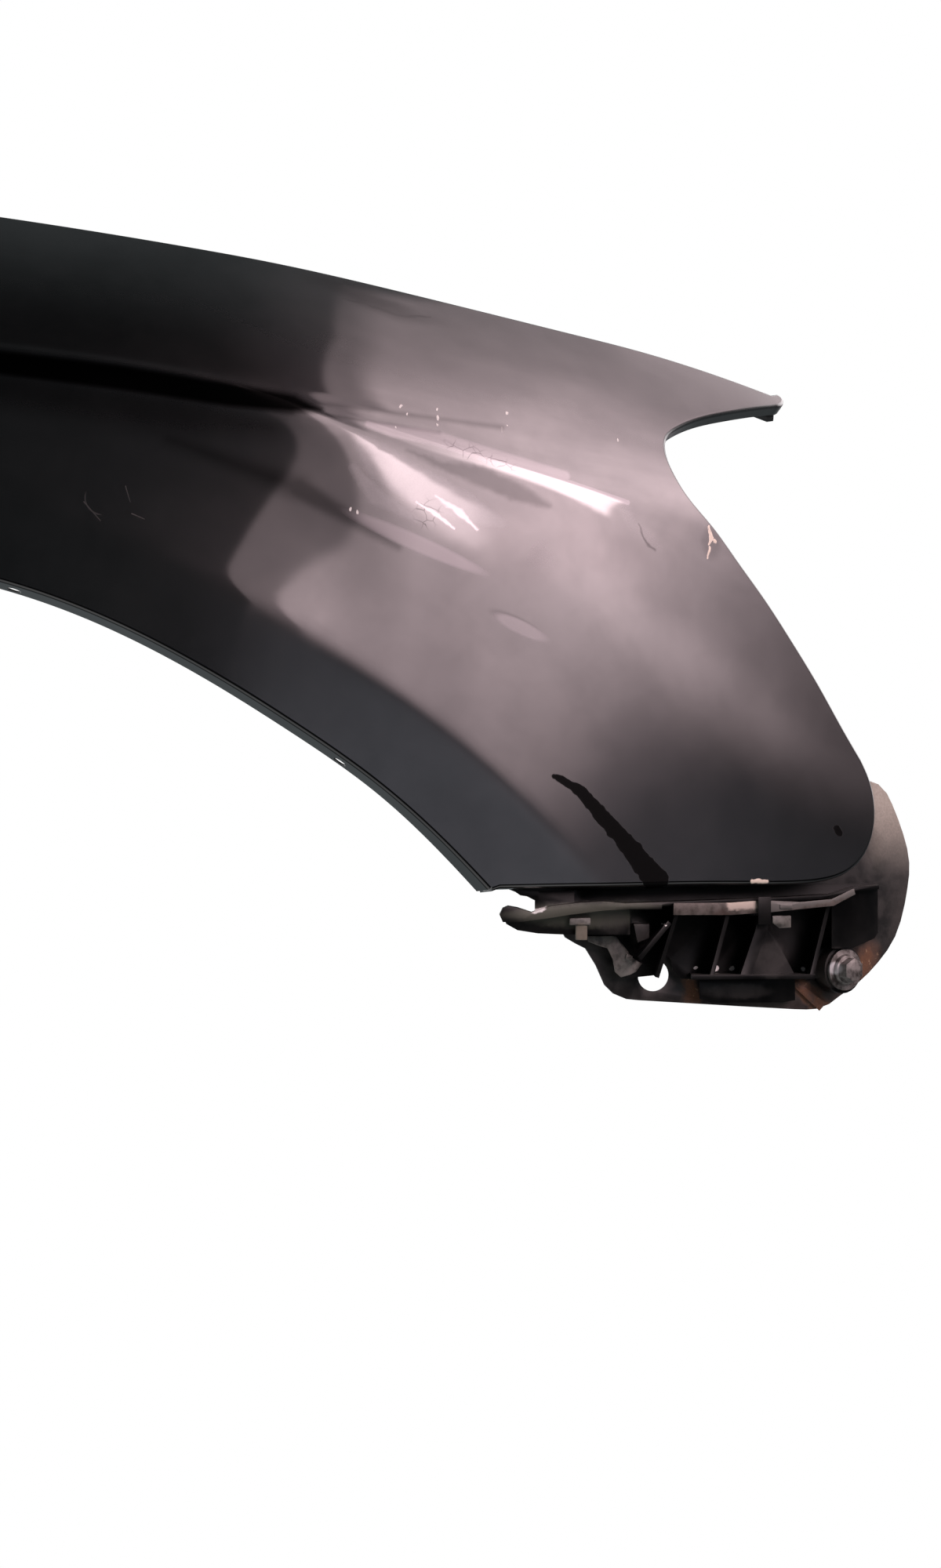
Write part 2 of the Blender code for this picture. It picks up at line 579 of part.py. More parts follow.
edge = rounded(PLATE_EDGE, 7.0)
flat, tris, _ = fill(edge, [], 12.0)
plate_points = [(x, float(skin_w(x, max(z, SPLIT_Z))) - float(plate_depth(x, z)), z) for x, z in flat]
plate = new_object("support_plate", make_mesh("support_plate", plate_points, tris), PRIMER)
sheet(plate, 1.2)
cut_with(plate, [
    rod("round_hole", (384.2, float(edge_w(384)) - PLATE_DEPTH, -327.4), (0, 1, 0), 7.3, 16, None, cutters, 32),
    rod("plate_bore", on_bolt(0), AXIS, 3.6, 40, None, cutters, 16),
])
stiffener = bend(prism("stiffener", [(451.6, -333.4), (455, -332.6), (469.4, -343.4), (466, -346.9)],
                       22.9, 25.0))
cut_with(plate, [stiffener], "UNION")

# strip along the bracket's upper front edge
strip = joined("retainer_strip", [
    prism("strip", [(392.6, -293.2), (420, -293.6), (432.8, -292.9), (440, -293.1), (454.2, -294), (470, -293),
                    (481.2, -288.2), (482, -291), (471, -296.2), (454.6, -297.4), (440, -298.4), (420, -299.3),
                    (392.4, -298.7)], 2.1, 3.4),
    prism("strip_lug", [(444, -295), (450, -295.2), (450, -297), (444, -297)], 1.7, 2.6),
], DULL_STEEL)

# fixings
def turned(name, from_out, to_out, radius, mat, sides=32, top=None):
    mid = (from_out + to_out) / 2
    return rod(name, on_bolt(mid), AXIS, radius, to_out - from_out, mat, cutters, sides, top)


def gather(name, solids, mat):
    first = solids[0]
    cut_with(first, solids[1:], "UNION")
    cutters.objects.unlink(first)
    parts.objects.link(first)
    first.name = first.data.name = name
    first.hide_render, first.display_type = False, "TEXTURED"
    first.data.materials.clear()
    first.data.materials.append(mat)
    return first


FACE = PAD_FACE - .3     # outer face of the boss, measured along the bolt
washer = gather("bolt_washer", [turned("washer", FACE + .3, FACE + 1.9, 9.9, None)], ZINC)
cut_with(washer, [turned("washer_bore", FACE - 2, FACE + 5, 3.5, None, 20)])
bolt = gather("bracket_bolt", [
    turned("bolt_flange", FACE + 2.2, FACE + 3.6, 7.4, None, 32, 6.6),
    turned("bolt_head", FACE + 3.3, FACE + 8.4, 5.77, None, 6),
    turned("bolt_shank", -16.0, FACE + 3.0, 3.0, None, 20),
], ZINC)
nut = gather("weld_nut", [turned("nut", -14.0, -8.6, 6.4, None, 6), turned("nut_seat", -9.4, -7.9, 7.6, None, 28)], ZINC)
cut_with(nut, [turned("nut_bore", -30, 5, 3.35, None, 20)])

push_clip = joined("push_clip", [
    prism("clip_head", [(440.6, -300.2), (449.8, -300.4), (449.8, -306), (444, -306.2), (440.6, -303.6)], 5.2, 7.2),
    prism("clip_stem", [(443.4, -301), (446.6, -301), (446.6, -304.4), (443.4, -304.4)], 6.4, 9.0),
], GREY_PLASTIC)
tee_clip = joined("tee_clip", [
    prism("tee_head", [(344.2, -299.2), (353.9, -299.2), (353.9, -302.6), (344.2, -302.4)], 4.6, 7.0),
    prism("tee_stem", [(347, -301), (352.4, -301), (352.4, -309.4), (347, -309.2)], 4.9, 7.0),
], GREY_PLASTIC)
spring = joined("retaining_spring", [
    prism("strap", [(353.2, -308.2), (366, -308.2), (371.6, -315), (373.2, -318), (378.4, -321.4), (375.6, -325.1),
                    (372.6, -326.4), (368.6, -327.4), (365.7, -324.8), (364.7, -319), (362.2, -313.9),
                    (357.6, -312.4), (353.2, -310.6)], 17.8, 19.6),
    prism("strap_bead", [(371.2, -316.4), (374.2, -317.8), (373.4, -320.2), (370.6, -318.8)], 16.9, 18.4),
], GREY_PLASTIC)


# ------------------------------------------------ stampings welded inside
def angle_bracket(name, x0, x1, top, fold, reach, hole):
    """A strip down the skin's inner face, folded inboard into a level drilled foot."""
    rows = []
    for x in np.linspace(x0, x1, 5):
        inner = [(x, float(skin_w(x, z)) - WELD_OFF, z) for z in np.linspace(top, fold + 4, 4)]
        w = float(skin_w(x, fold)) - WELD_OFF
        inner += [(x, w - 1.2, fold + 1.2), (x, w - 4, fold)]
        inner += [(x, w - 4 - (reach - 4) * k / 2, fold) for k in (1, 2)]
        rows.append(inner)
    pts = [p for r in rows for p in r]
    n = len(rows[0])
    quads = [(i * n + k, i * n + k + 1, (i + 1) * n + k + 1, (i + 1) * n + k)
             for i in range(len(rows) - 1) for k in range(n - 1)]
    obj = new_object(name, make_mesh(name, pts, quads), PRIMER)
    sheet(obj, 1.5)
    xm = (x0 + x1) / 2
    at = (xm, float(skin_w(xm, fold)) - WELD_OFF - reach + hole, fold)
    return cut_with(obj, [rod("foot_hole", at, (0, 0, 1), 4.3, 14, None, cutters, 20)])


WELD_OFF = 1.9          # an inner stamping's face behind the skin's outer face
angle_bracket("lamp_bracket", 318, 350, -118, -150, 44, 12)
angle_bracket("rear_upper_bracket", -506, -470, -14, -56, 50, 14)
angle_bracket("rear_lower_bracket", -488, -444, -500, -552, 54, 15)

for obj in parts.objects:
    obj.data.shade_smooth()
    obj.data.set_sharp_from_angle(angle=math.radians(32))
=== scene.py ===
"""Looks of the front fender: fine skin, finishes, marks of use, light and camera."""
import math

import bmesh
import bpy
import numpy as np
from mathutils import Matrix, Vector, kdtree
from mathutils.geometry import delaunay_2d_cdt


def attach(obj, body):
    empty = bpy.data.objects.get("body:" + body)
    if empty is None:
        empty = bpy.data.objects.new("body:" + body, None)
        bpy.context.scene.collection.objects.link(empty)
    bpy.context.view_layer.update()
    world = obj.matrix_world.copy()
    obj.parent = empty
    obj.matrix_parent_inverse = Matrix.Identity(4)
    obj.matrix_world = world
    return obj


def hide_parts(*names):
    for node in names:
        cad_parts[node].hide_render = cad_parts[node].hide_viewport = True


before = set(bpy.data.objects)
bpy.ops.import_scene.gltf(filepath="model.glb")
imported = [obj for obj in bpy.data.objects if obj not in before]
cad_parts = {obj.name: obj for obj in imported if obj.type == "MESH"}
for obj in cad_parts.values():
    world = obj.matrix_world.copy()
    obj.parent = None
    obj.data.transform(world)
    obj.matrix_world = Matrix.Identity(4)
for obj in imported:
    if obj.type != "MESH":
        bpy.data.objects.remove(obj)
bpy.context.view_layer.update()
MM = 0.001

# =====================================================================================
# The skin. Datum millimetres: x forward, w outward, z up. Same pressing as in the CAD.
# =====================================================================================
SHEET, FOLD = 0.8, 2.0
ARCH_Z, FLANGE_W, FLANGE_Z = -497.0, 22.0, 8.0
FLARE_BAND = 37.0
FLARE_OUT, FLARE_BLEND, FLARE_SOFT, FLARE_LEAN = 3.0, 85.0, 2.0, 0.05
LIP, LAMP_LIP, SPLIT_LIP, DOOR_LIP, SILL_LIP = 14.0, 11.0, 15.0, 11.0, 18.0
FINE = 4.4


def spline(*stations):
    p = np.array(sorted(stations), float)
    x, y, n = p[:, 0], p[:, 1], len(p)
    h = np.diff(x)
    a, r = np.zeros((n, n)), np.zeros(n)
    a[0, 0] = a[-1, -1] = 1
    for i in range(1, n - 1):
        a[i, i - 1:i + 2] = h[i - 1], 2 * (h[i - 1] + h[i]), h[i]
        r[i] = 6 * ((y[i + 1] - y[i]) / h[i] - (y[i] - y[i - 1]) / h[i - 1])
    m = np.linalg.solve(a, r)
    first = (y[1] - y[0]) / h[0] - h[0] * (2 * m[0] + m[1]) / 6
    last = (y[-1] - y[-2]) / h[-1] + h[-1] * (2 * m[-1] + m[-2]) / 6

    def value(q):
        q = np.asarray(q, float)
        i = np.clip(np.searchsorted(x, q) - 1, 0, n - 2)
        at = np.clip(q, x[0], x[-1])
        t, u = at - x[i], x[i + 1] - at
        v = ((m[i] * u ** 3 + m[i + 1] * t ** 3) / (6 * h[i])
             + (y[i] / h[i] - m[i] * h[i] / 6) * u
             + (y[i + 1] / h[i] - m[i + 1] * h[i] / 6) * t)
        return v + np.where(q < x[0], (q - x[0]) * first, 0) + np.where(q > x[-1], (q - x[-1]) * last, 0)
    return value


def ramp(t, soft):
    return soft * np.logaddexp(0, t / soft)


arch_radius = spline((-140, 385), (-110, 366), (-90, 361), (-60, 359), (-20, 359), (20, 359),
                     (38, 360.5), (46, 366), (56, 373.5), (66, 385))
hood_z = spline((-530, 82), (-400, 74), (-200, 58), (0, 36), (81, 25.5), (168, 12.5), (226, 3.6),
                (285, -7.5), (345, -19.5), (391, -29), (424, -37.5), (456, -47))
crease_z = spline((-530, 12), (-300, -6), (0, -34.5), (91, -44.3), (143, -50.2), (180, -56), (200, -60.2),
                  (223, -66.4), (250, -74.4), (285, -84.2), (320, -93.4), (357, -103.4), (373, -108),
                  (430, -129), (490, -151))
crease_w = spline((-530, 96), (-300, 108), (-100, 114), (0, 114), (90, 110), (200, 96), (300, 72),
                  (400, 34), (440, 14), (490, -16))
crease_soft = spline((-530, 1.2), (90, 1.2), (200, 1.8), (240, 2.9), (285, 2.7), (345, 2.8), (380, 6), (420, 8), (490, 8))
top_slope = spline((-530, .70), (90, .70), (180, .685), (230, .665), (285, .62), (350, .54), (400, .43),
                   (440, .34), (490, .30))
top_round = spline((-530, .0100), (90, .0108), (230, .0116), (310, .0120), (385, .0122), (440, .0124),
                   (490, .0122))
near_slope = spline((-530, -.10), (-200, -.14), (90, -.15), (150, -.13), (190, -.04), (230, .14), (265, .26),
                    (310, .29), (385, .29), (440, .30), (490, .32))
deep_slope = spline((-530, .14), (-200, .22), (90, .23), (180, .22), (230, .195), (285, .165), (350, .135),
                    (420, .115), (490, .10))
slope_fade = spline((-530, 14), (90, 14), (180, 14), (230, 18), (285, 34), (350, 45), (420, 42), (490, 38))
TUCK = .00018


def skin_w(x, z):
    x = np.clip(np.asarray(x, float), -600, 600)
    z = np.clip(np.asarray(z, float), -700, 150)
    below = crease_z(x) - z
    soft = np.clip(crease_soft(x), .8, 12)
    up, down = ramp(-below, soft), ramp(below, soft)
    fade, deep = slope_fade(x), deep_slope(x)
    w = crease_w(x) - top_slope(x) * up - .5 * top_round(x) * up ** 2
    w = w + deep * down + (near_slope(x) - deep) * fade * (1 - np.exp(-down / fade))
    w = w - TUCK * ramp(down - 60, 20) ** 2
    turn = np.degrees(np.arctan2(x, z - ARCH_Z))
    inside = FLARE_BAND - (np.hypot(x, z - ARCH_Z) - arch_radius(turn))
    rise = np.clip(1 + inside / FLARE_BLEND, 0, None) - ramp(inside, FLARE_SOFT) / FLARE_BLEND
    return w + FLARE_OUT * np.clip(rise, 0, None) ** 2 - FLARE_LEAN * ramp(inside, FLARE_SOFT)


def on_skin(xz):
    return np.stack([xz[:, 0], skin_w(xz[:, 0], xz[:, 1]), xz[:, 1]], 1)


def unit(v):
    return v / np.maximum(np.linalg.norm(v, axis=-1, keepdims=True), 1e-12)


def skin_normal(xz, e=.2):
    x, z = xz[:, 0], xz[:, 1]
    return unit(np.stack([-(skin_w(x + e, z) - skin_w(x - e, z)) / (2 * e), np.ones(len(x)),
                          -(skin_w(x, z + e) - skin_w(x, z - e)) / (2 * e)], 1))


def to_row(p):
    p = np.atleast_2d(p)
    return np.stack([p[:, 0] * MM, (FLANGE_W - p[:, 1]) * MM, (p[:, 2] - FLANGE_Z) * MM], 1)


def turn_row(n):
    return np.stack([n[:, 0], -n[:, 1], n[:, 2]], 1)


def through(points, step):
    p = np.array(points, float)
    s = np.concatenate([[0], np.cumsum(np.hypot(*np.diff(p, axis=0).T))])
    fx, fz = spline(*zip(s, p[:, 0])), spline(*zip(s, p[:, 1]))
    q = np.linspace(0, s[-1], max(2, int(round(s[-1] / step)) + 1))
    return np.stack([fx(q), fz(q)], 1)


def arch_point(turn, extra=0.0):
    r = float(arch_radius(turn)) + extra
    a = math.radians(turn)
    return r * math.sin(a), ARCH_Z + r * math.cos(a)


TURN_FRONT, TURN_REAR = 55.5, -106.5
ARCH_FRONT = arch_point(TURN_FRONT, FOLD)
ARCH_REAR = arch_point(TURN_REAR, FOLD)
SPLIT_EDGE = [(ARCH_FRONT[0], -283.4), (334, -283.2), (372, -283), (410, -283), (440, -283.6)]
NOSE_CORNER = [(440, -283.6), (456, -283.4), (468, -282), (477, -279), (483.5, -274), (488.5, -266),
               (491, -256), (490.8, -246), (488.5, -236.5), (484.6, -228)]
LAMP_EDGE = [(484.6, -228), (476, -214), (463.5, -192.5), (449.8, -171), (437, -152), (424.5, -135),
             (412.5, -118.5), (401, -104.5), (393.6, -91.5), (390.4, -81), (391.4, -73.5),
             (397.5, -67.6), (409, -61.6), (424, -56.6), (439, -52.4), (450, -49.8)]
TIP = [(450, -49.8), (453.6, -48.6), (454.6, -46.6), (453, -44.9)]
HOOD_FROM, HOOD_TO = 453.0, -436.0
PILLAR_CORNER = [(HOOD_TO, float(hood_z(HOOD_TO)) - .8), (-470, 70), (-500, 56), (-517, 34), (-524, 4)]
DOOR_EDGE = [(-524, 4), (-528, -80), (-531, -200), (-529, -330), (-520, -450), (-506, -548), (-496, -598)]
BOLT_STATIONS = (-400, -200, 0, 170, 300)
PAD_HALF = 17.0


def outline(step):
    front = through(SPLIT_EDGE, step)
    corner = through(NOSE_CORNER, step * .7)
    lamp = through(LAMP_EDGE, step * .7)
    tip = through(TIP, .8)
    x = np.linspace(HOOD_FROM, HOOD_TO, int(round((HOOD_FROM - HOOD_TO) / step)) + 1)
    pads = np.array([s + d for s in BOLT_STATIONS for d in (-PAD_HALF, PAD_HALF)])
    for p in pads:
        x[np.abs(x - p).argmin()] = p
    hood = np.stack([x, hood_z(x) - .8], 1)
    pillar = through(PILLAR_CORNER, step * .7)
    door = through(DOOR_EDGE, step)
    sill = through([(-496, -598), (-430, -598.6), ARCH_REAR], step)
    turns = np.linspace(TURN_REAR, TURN_FRONT, int(round(1010 / step)) + 1)
    arch = np.array([arch_point(t, FOLD) for t in turns])
    nose = np.concatenate([front, corner[1:], lamp[1:], tip[1:]])
    nose[0] = arch[-1]
    rear = np.concatenate([pillar, door[1:]])
    hood[0], rear[0] = nose[-1], hood[-1]
    sill[0], sill[-1] = rear[-1], arch[0]
    return {"nose": nose, "hood": hood, "rear": rear, "sill": sill, "arch": arch}


def feature_lines(step):
    lines = []
    x = np.arange(-512, 376, step)
    for off in (-7.5, -4.2, -2.2, -1.0, 0, 1.0, 2.2, 4.2, 7.5):
        lines.append(np.stack([x, crease_z(x) + off], 1))
    turns = np.radians(np.linspace(TURN_REAR + 1.5, TURN_FRONT - .8, int(round(1120 / step))))
    for off in (-8, -4.5, -2.2, 0, 2.2, 4.5, 8):
        r = arch_radius(np.degrees(turns)) + FLARE_BAND + off
        lines.append(np.stack([r * np.sin(turns), ARCH_Z + r * np.cos(turns)], 1))
    return lines


def inside_loop(points, loop):
    x, z = points[:, 0], points[:, 1]
    hit = np.zeros(len(points), bool)
    for (x0, z0), (x1, z1) in zip(loop, np.roll(loop, -1, 0)):
        if z0 == z1:
            continue
        cross = (z0 > z) != (z1 > z)
        hit ^= cross & (x < (x1 - x0) * (z - z0) / (z1 - z0) + x0)
    return hit


def tree_of(points):
    tree = kdtree.KDTree(len(points))
    for i, p in enumerate(points):
        tree.insert((p[0], p[1], 0), i)
    tree.balance()
    return tree


def thin(points, tree, clear):
    return np.array([p for p in points if tree.find((p[0], p[1], 0))[2] > clear])


def fill(loop, lines, spacing):
    lo, hi = loop.min(0), loop.max(0)
    rows = np.arange(lo[1], hi[1], spacing * math.sqrt(3) / 2)
    grid = np.array([(x + (i % 2) * spacing / 2, z) for i, z in enumerate(rows)
                     for x in np.arange(lo[0], hi[0], spacing)])
    grid = grid[inside_loop(grid, loop)]
    edge_tree = tree_of(loop)
    fixed = np.concatenate(lines)
    fixed = thin(fixed[inside_loop(fixed, loop)], edge_tree, 1.1)
    grid = thin(grid, tree_of(np.concatenate([loop, fixed])), spacing * .55)
    points = np.concatenate([loop, fixed, grid])
    n = len(loop)
    edges = [(i, (i + 1) % n) for i in range(n)]
    made = delaunay_2d_cdt([Vector(p) for p in points], edges, [list(range(n))], 1, 1e-7)
    return np.array([tuple(v) for v in made[0]]), [tuple(f) for f in made[2]]


def along(side):
    """Unit tangents of an edge lifted onto the skin."""
    return unit(np.gradient(on_skin(side), axis=0))


def folded(side, length, degrees=90.0, arc=5, run=3):
    """Columns of points and normals for a return flange behind each edge point."""
    p, n = on_skin(side), skin_normal(side)
    t = along(side)
    t = unit(t - n * (t * n).sum(1, keepdims=True))
    out = unit(np.cross(n, t))
    total = math.radians(degrees)
    pts, nrm = [p], [n]
    for k in range(1, arc + 1):
        a = total * k / arc
        pts.append(p + FOLD * (math.sin(a) * out - (1 - math.cos(a)) * n))
        nrm.append(math.cos(a) * n + math.sin(a) * out)
    for k in range(1, run + 1):
        pts.append(pts[arc] + length * k / run * (math.cos(total) * out - math.sin(total) * n))
        nrm.append(nrm[arc])
    return pts, nrm


def flange_level(x):
    xs, zs = [], []
    for s in BOLT_STATIONS:
        z = FLANGE_Z + SHEET if s == 0 else round(float(hood_z(s)) - 28.0)
        xs += [s - PAD_HALF, s + PAD_HALF]
        zs += [z, z]
    xs = [-460] + xs + [380, 460]
    zs = [zs[0] + 3] + zs + [-52, -60]
    return np.interp(x, xs, zs)


def hood_folded(side, arc=6):
    p, n = on_skin(side), skin_normal(side)
    x = side[:, 0]
    t = unit(np.stack([-np.ones(len(x)), skin_w(x - 1, hood_z(x - 1)) - skin_w(x, hood_z(x)),
                       hood_z(x - 1) - hood_z(x)], 1))
    out = unit(np.cross(n, t))
    out = np.where(out[:, 1:2] > 0, -out, out)
    down = unit(np.array([[0, -.10, -1.0]]))
    total = np.arccos(np.clip((out * down).sum(1), -1, 1))[:, None]
    pts, nrm = [p], [n]
    for k in range(1, arc + 1):
        a = total * k / arc
        pts.append(p + FOLD * (np.sin(a) * out - (1 - np.cos(a)) * n))
        nrm.append(np.cos(a) * n + np.sin(a) * out)
    top = pts[-1]
    wall_n = unit(np.array([[0, -1.0, .10]])) + 0 * p
    nrm[-1] = wall_n
    level = flange_level(x)
    share = np.clip((x - 352) / 60, 0, 1)
    depth = (1 - share) * (top[:, 2] - level - FOLD) + share * np.minimum(8.0, top[:, 2] - level - FOLD)
    wide = (29.0 * (1 - share) + 1.6 * share)[:, None]
    foot = top + down * (depth / abs(down[0, 2]))[:, None]
    for k in (1, 2):
        pts.append(top + (foot - top) * k / 2)
        nrm.append(wall_n)
    for a in (30, 60, 90):
        r = math.radians(a)
        pts.append(foot + np.array([[0, -FOLD * (1 - math.cos(r)), -FOLD * math.sin(r)]]))
        nrm.append(unit(np.array([[0, -math.cos(r), math.sin(r)]])) + 0 * p)
    edge = pts[-1]
    for k in (1, 2, 3, 4):
        pts.append(edge + np.array([[0, -1.0, 0]]) * wide * k / 4)
        nrm.append(np.array([[0, 0, 1.0]]) + 0 * p)
    return pts, nrm


def nose_lip(side):
    """Fold length round the nose: deep along the split, narrow up the lamp edge, least under the tip."""
    share = np.linspace(0, 1, len(side))
    length = LAMP_LIP + (SPLIT_LIP - LAMP_LIP) * np.clip(1 - (share - .3) / .12, 0, 1)
    high = np.clip((side[:, 1] + 128) / 40, 0, 1)
    return (length * (1 - high) + 4.2 * high)[:, None]


def build_skin():
    sides = outline(FINE * .8)
    order = ("nose", "hood", "rear", "sill", "arch")
    loop = np.concatenate([sides[k][:-1] for k in order])
    flat, tris = fill(loop, feature_lines(FINE * .75), FINE)
    P, N = [on_skin(flat)], [skin_normal(flat)]
    F = [list(t) for t in tris]
    count = len(flat)
    tree = tree_of(flat)
    rim = []
    widths = {"nose": nose_lip(sides["nose"]), "rear": DOOR_LIP, "sill": SILL_LIP, "arch": LIP}
    for name in order:
        side = sides[name]
        pts, nrm = hood_folded(side) if name == "hood" else folded(side, widths[name])
        base = [tree.find((p[0], p[1], 0))[1] for p in side]
        ids = [np.array(base)]
        for q, m in zip(pts[1:], nrm[1:]):
            P.append(q)
            N.append(unit(m))
            ids.append(np.arange(count, count + len(side)))
            count += len(side)
        for a, b in zip(ids, ids[1:]):
            for i in range(len(side) - 1):
                F.append([a[i], b[i], b[i + 1], a[i + 1]])
        for a, b in zip(ids, ids[1:]):            # the two open ends of the strip
            rim.append((a[0], b[0]))
            rim.append((a[-1], b[-1]))
        rim += list(zip(ids[-1][:-1], ids[-1][1:]))
    return np.concatenate(P), np.concatenate(N), F, rim


def solid_mesh(name, P, N, F, thick):
    """Outer sheet, its offset inner sheet and the cut edge between them, with exact normals."""
    n = len(P)
    row = to_row(P)
    nrow = turn_row(unit(N))
    # face winding that agrees with the normals
    fa = []
    for f in F:
        a, b, c = row[f[0]], row[f[1]], row[f[2]]
        good = np.dot(np.cross(b - a, c - a), nrow[f[0]] + nrow[f[1]] + nrow[f[2]]) > 0
        fa.append(list(f) if good else list(f)[::-1])
    seen = {}
    for f in fa:
        for i in range(len(f)):
            e = (int(f[i]), int(f[(i + 1) % len(f)]))
            seen[e] = seen.get(e, 0) + 1
    border = [e for e in seen if (e[1], e[0]) not in seen]
    inner = row - nrow * thick * MM
    verts = np.concatenate([row, inner])
    faces = fa + [[int(i) + n for i in f[::-1]] for f in fa]
    kinds = [0] * len(fa) + [1] * len(fa)
    for a, b in border:
        faces.append([b, a, a + n, b + n])
        kinds.append(2)
    mesh = bpy.data.meshes.new(name)
    mesh.from_pydata(verts.tolist(), [], [[int(i) for i in f] for f in faces])
    kinds = np.array(kinds, np.int32)
    mesh.polygons.foreach_set("use_smooth", np.ones(len(faces), bool))
    loops = []
    for f, k in zip(faces, kinds):
        if k == 0:
            loops += [nrow[i] for i in f]
        elif k == 1:
            loops += [-nrow[i - n] for i in f]
        else:
            loops += [(0, 0, 0)] * len(f)
    mesh.normals_split_custom_set([tuple(v) for v in loops])
    mesh.update()
    return mesh, kinds


# Fixing holes, cut through the flanges of the fine sheet at the places the CAD has them.
def hole_tools():
    made = []

    def tool(at, axis, radius, length, sides=32):
        bm = bmesh.new()
        bmesh.ops.create_cone(bm, cap_ends=True, segments=sides, radius1=radius * MM, radius2=radius * MM,
                              depth=length * MM)
        a = to_row(np.array(at))[0]
        b = to_row(np.array(at) + np.array(axis, float))[0]
        turn = Vector(b - a).normalized().to_track_quat("Z", "Y").to_matrix().to_4x4()
        bm.transform(Matrix.Translation(a) @ turn)
        made.append(bm)

    for station in BOLT_STATIONS:
        x = station + (12 if station == 0 else 0)
        tool((x, float(skin_w(x, hood_z(x))) - 18.0, float(flange_level(station))), (0, 0, 1), 4.0, 8.0)
    for turn in (-84, -48, -14, 16, 42):
        x, z = arch_point(turn)
        w = float(skin_w(*arch_point(turn, FOLD))) - FOLD - .55 * LIP
        tool((x, w, z), (x, 0, z - ARCH_Z), 3.2, 10.0, 24)
    tool((-440.0, float(skin_w(-440.0, -598)) - 12, -600.5), (0, 0, 1), 4.0, 9.0)
    whole = bmesh.new()
    mesh = bpy.data.meshes.new("hole_tools")
    for bm in made:
        piece = bpy.data.meshes.new("hole_tool")
        bm.to_mesh(piece)
        bm.free()
        whole.from_mesh(piece)
        bpy.data.meshes.remove(piece)
    whole.to_mesh(mesh)
    whole.free()
    return bpy.data.objects.new("hole_tools", mesh)


def drilled(mesh, kinds, row, nrow, thick):
    """The sheet with its holes, carrying the exact normals over to the cut mesh."""
    for i in range(3):
        mesh.materials.append(bpy.data.materials.new("slot_%d" % i))
    mesh.polygons.foreach_set("material_index", kinds)
    obj = bpy.data.objects.new("uncut", mesh)
    tool = hole_tools()
    tool.data.materials.append(bpy.data.materials.new("slot_hole"))
    for o in (obj, tool):
        bpy.context.scene.collection.objects.link(o)
    mod = obj.modifiers.new("holes", "BOOLEAN")
    mod.operation, mod.solver, mod.object = "DIFFERENCE", "EXACT", tool
    mod.material_mode = "TRANSFER"
    graph = bpy.context.evaluated_depsgraph_get()
    cut = bpy.data.meshes.new_from_object(obj.evaluated_get(graph))
    for o in (obj, tool):
        bpy.data.objects.remove(o)
    names = [m.name if m else "" for m in cut.materials]
    kind_of = {i: (2 if n.startswith("slot_hole") else int(n.split(".")[0].split("_")[1])) for i, n in enumerate(names)}
    index = np.zeros(len(cut.polygons), np.int32)
    cut.polygons.foreach_get("material_index", index)
    kinds = np.array([kind_of[i] for i in index])
    outer, inner = kdtree.KDTree(len(row)), kdtree.KDTree(len(row))
    for i, p in enumerate(row):
        outer.insert(p, i)
        inner.insert(p - nrow[i] * thick * MM, i)
    outer.balance()
    inner.balance()
    loops, known = [], {}
    for poly, kind in zip(cut.polygons, kinds):
        for v in poly.vertices:
            if kind > 1:
                loops.append((0, 0, 0))
                continue
            key = (v, int(kind))
            if key not in known:
                i = (inner if kind else outer).find(cut.vertices[v].co)[1]
                known[key] = tuple(-nrow[i] if kind else nrow[i])
            loops.append(known[key])
    cut.polygons.foreach_set("use_smooth", np.ones(len(cut.polygons), bool))
    cut.normals_split_custom_set(loops)
    cut.materials.clear()
    cut.update()
    return cut, kinds


P, N, F, RIM = build_skin()
mesh, kinds = solid_mesh("fender_skin", P, N, F, SHEET)
mesh, kinds = drilled(mesh, kinds, to_row(P), turn_row(unit(N)), SHEET)
print("sheet faces outside, inside and on the edge", np.bincount(kinds))
mesh.name = "fender_skin"
skin = bpy.data.objects.new("fender_skin", mesh)
bpy.context.scene.collection.objects.link(skin)
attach(skin, "root")
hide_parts("fender_panel")
mesh.calc_loop_triangles()
print("skin triangles", len(mesh.loop_triangles))


# =====================================================================================
# Where the photograph's pixels fall
# =====================================================================================
def seen(px, py, behind=None):
    """The (forward, up) point of the skin, or of a depth behind its lower edge, seen at a pixel."""
    w = 90.0
    for _ in range(60):
        f = .35 * (1600 - w) / 1500
        x, z = 299.6 + (px - 600) * f, -238.7 - (py - 1000) * f
        target = float(skin_w(x, z)) if behind is None else float(skin_w(x, -283.2)) - behind
        w = .6 * w + .4 * target
    return x, z


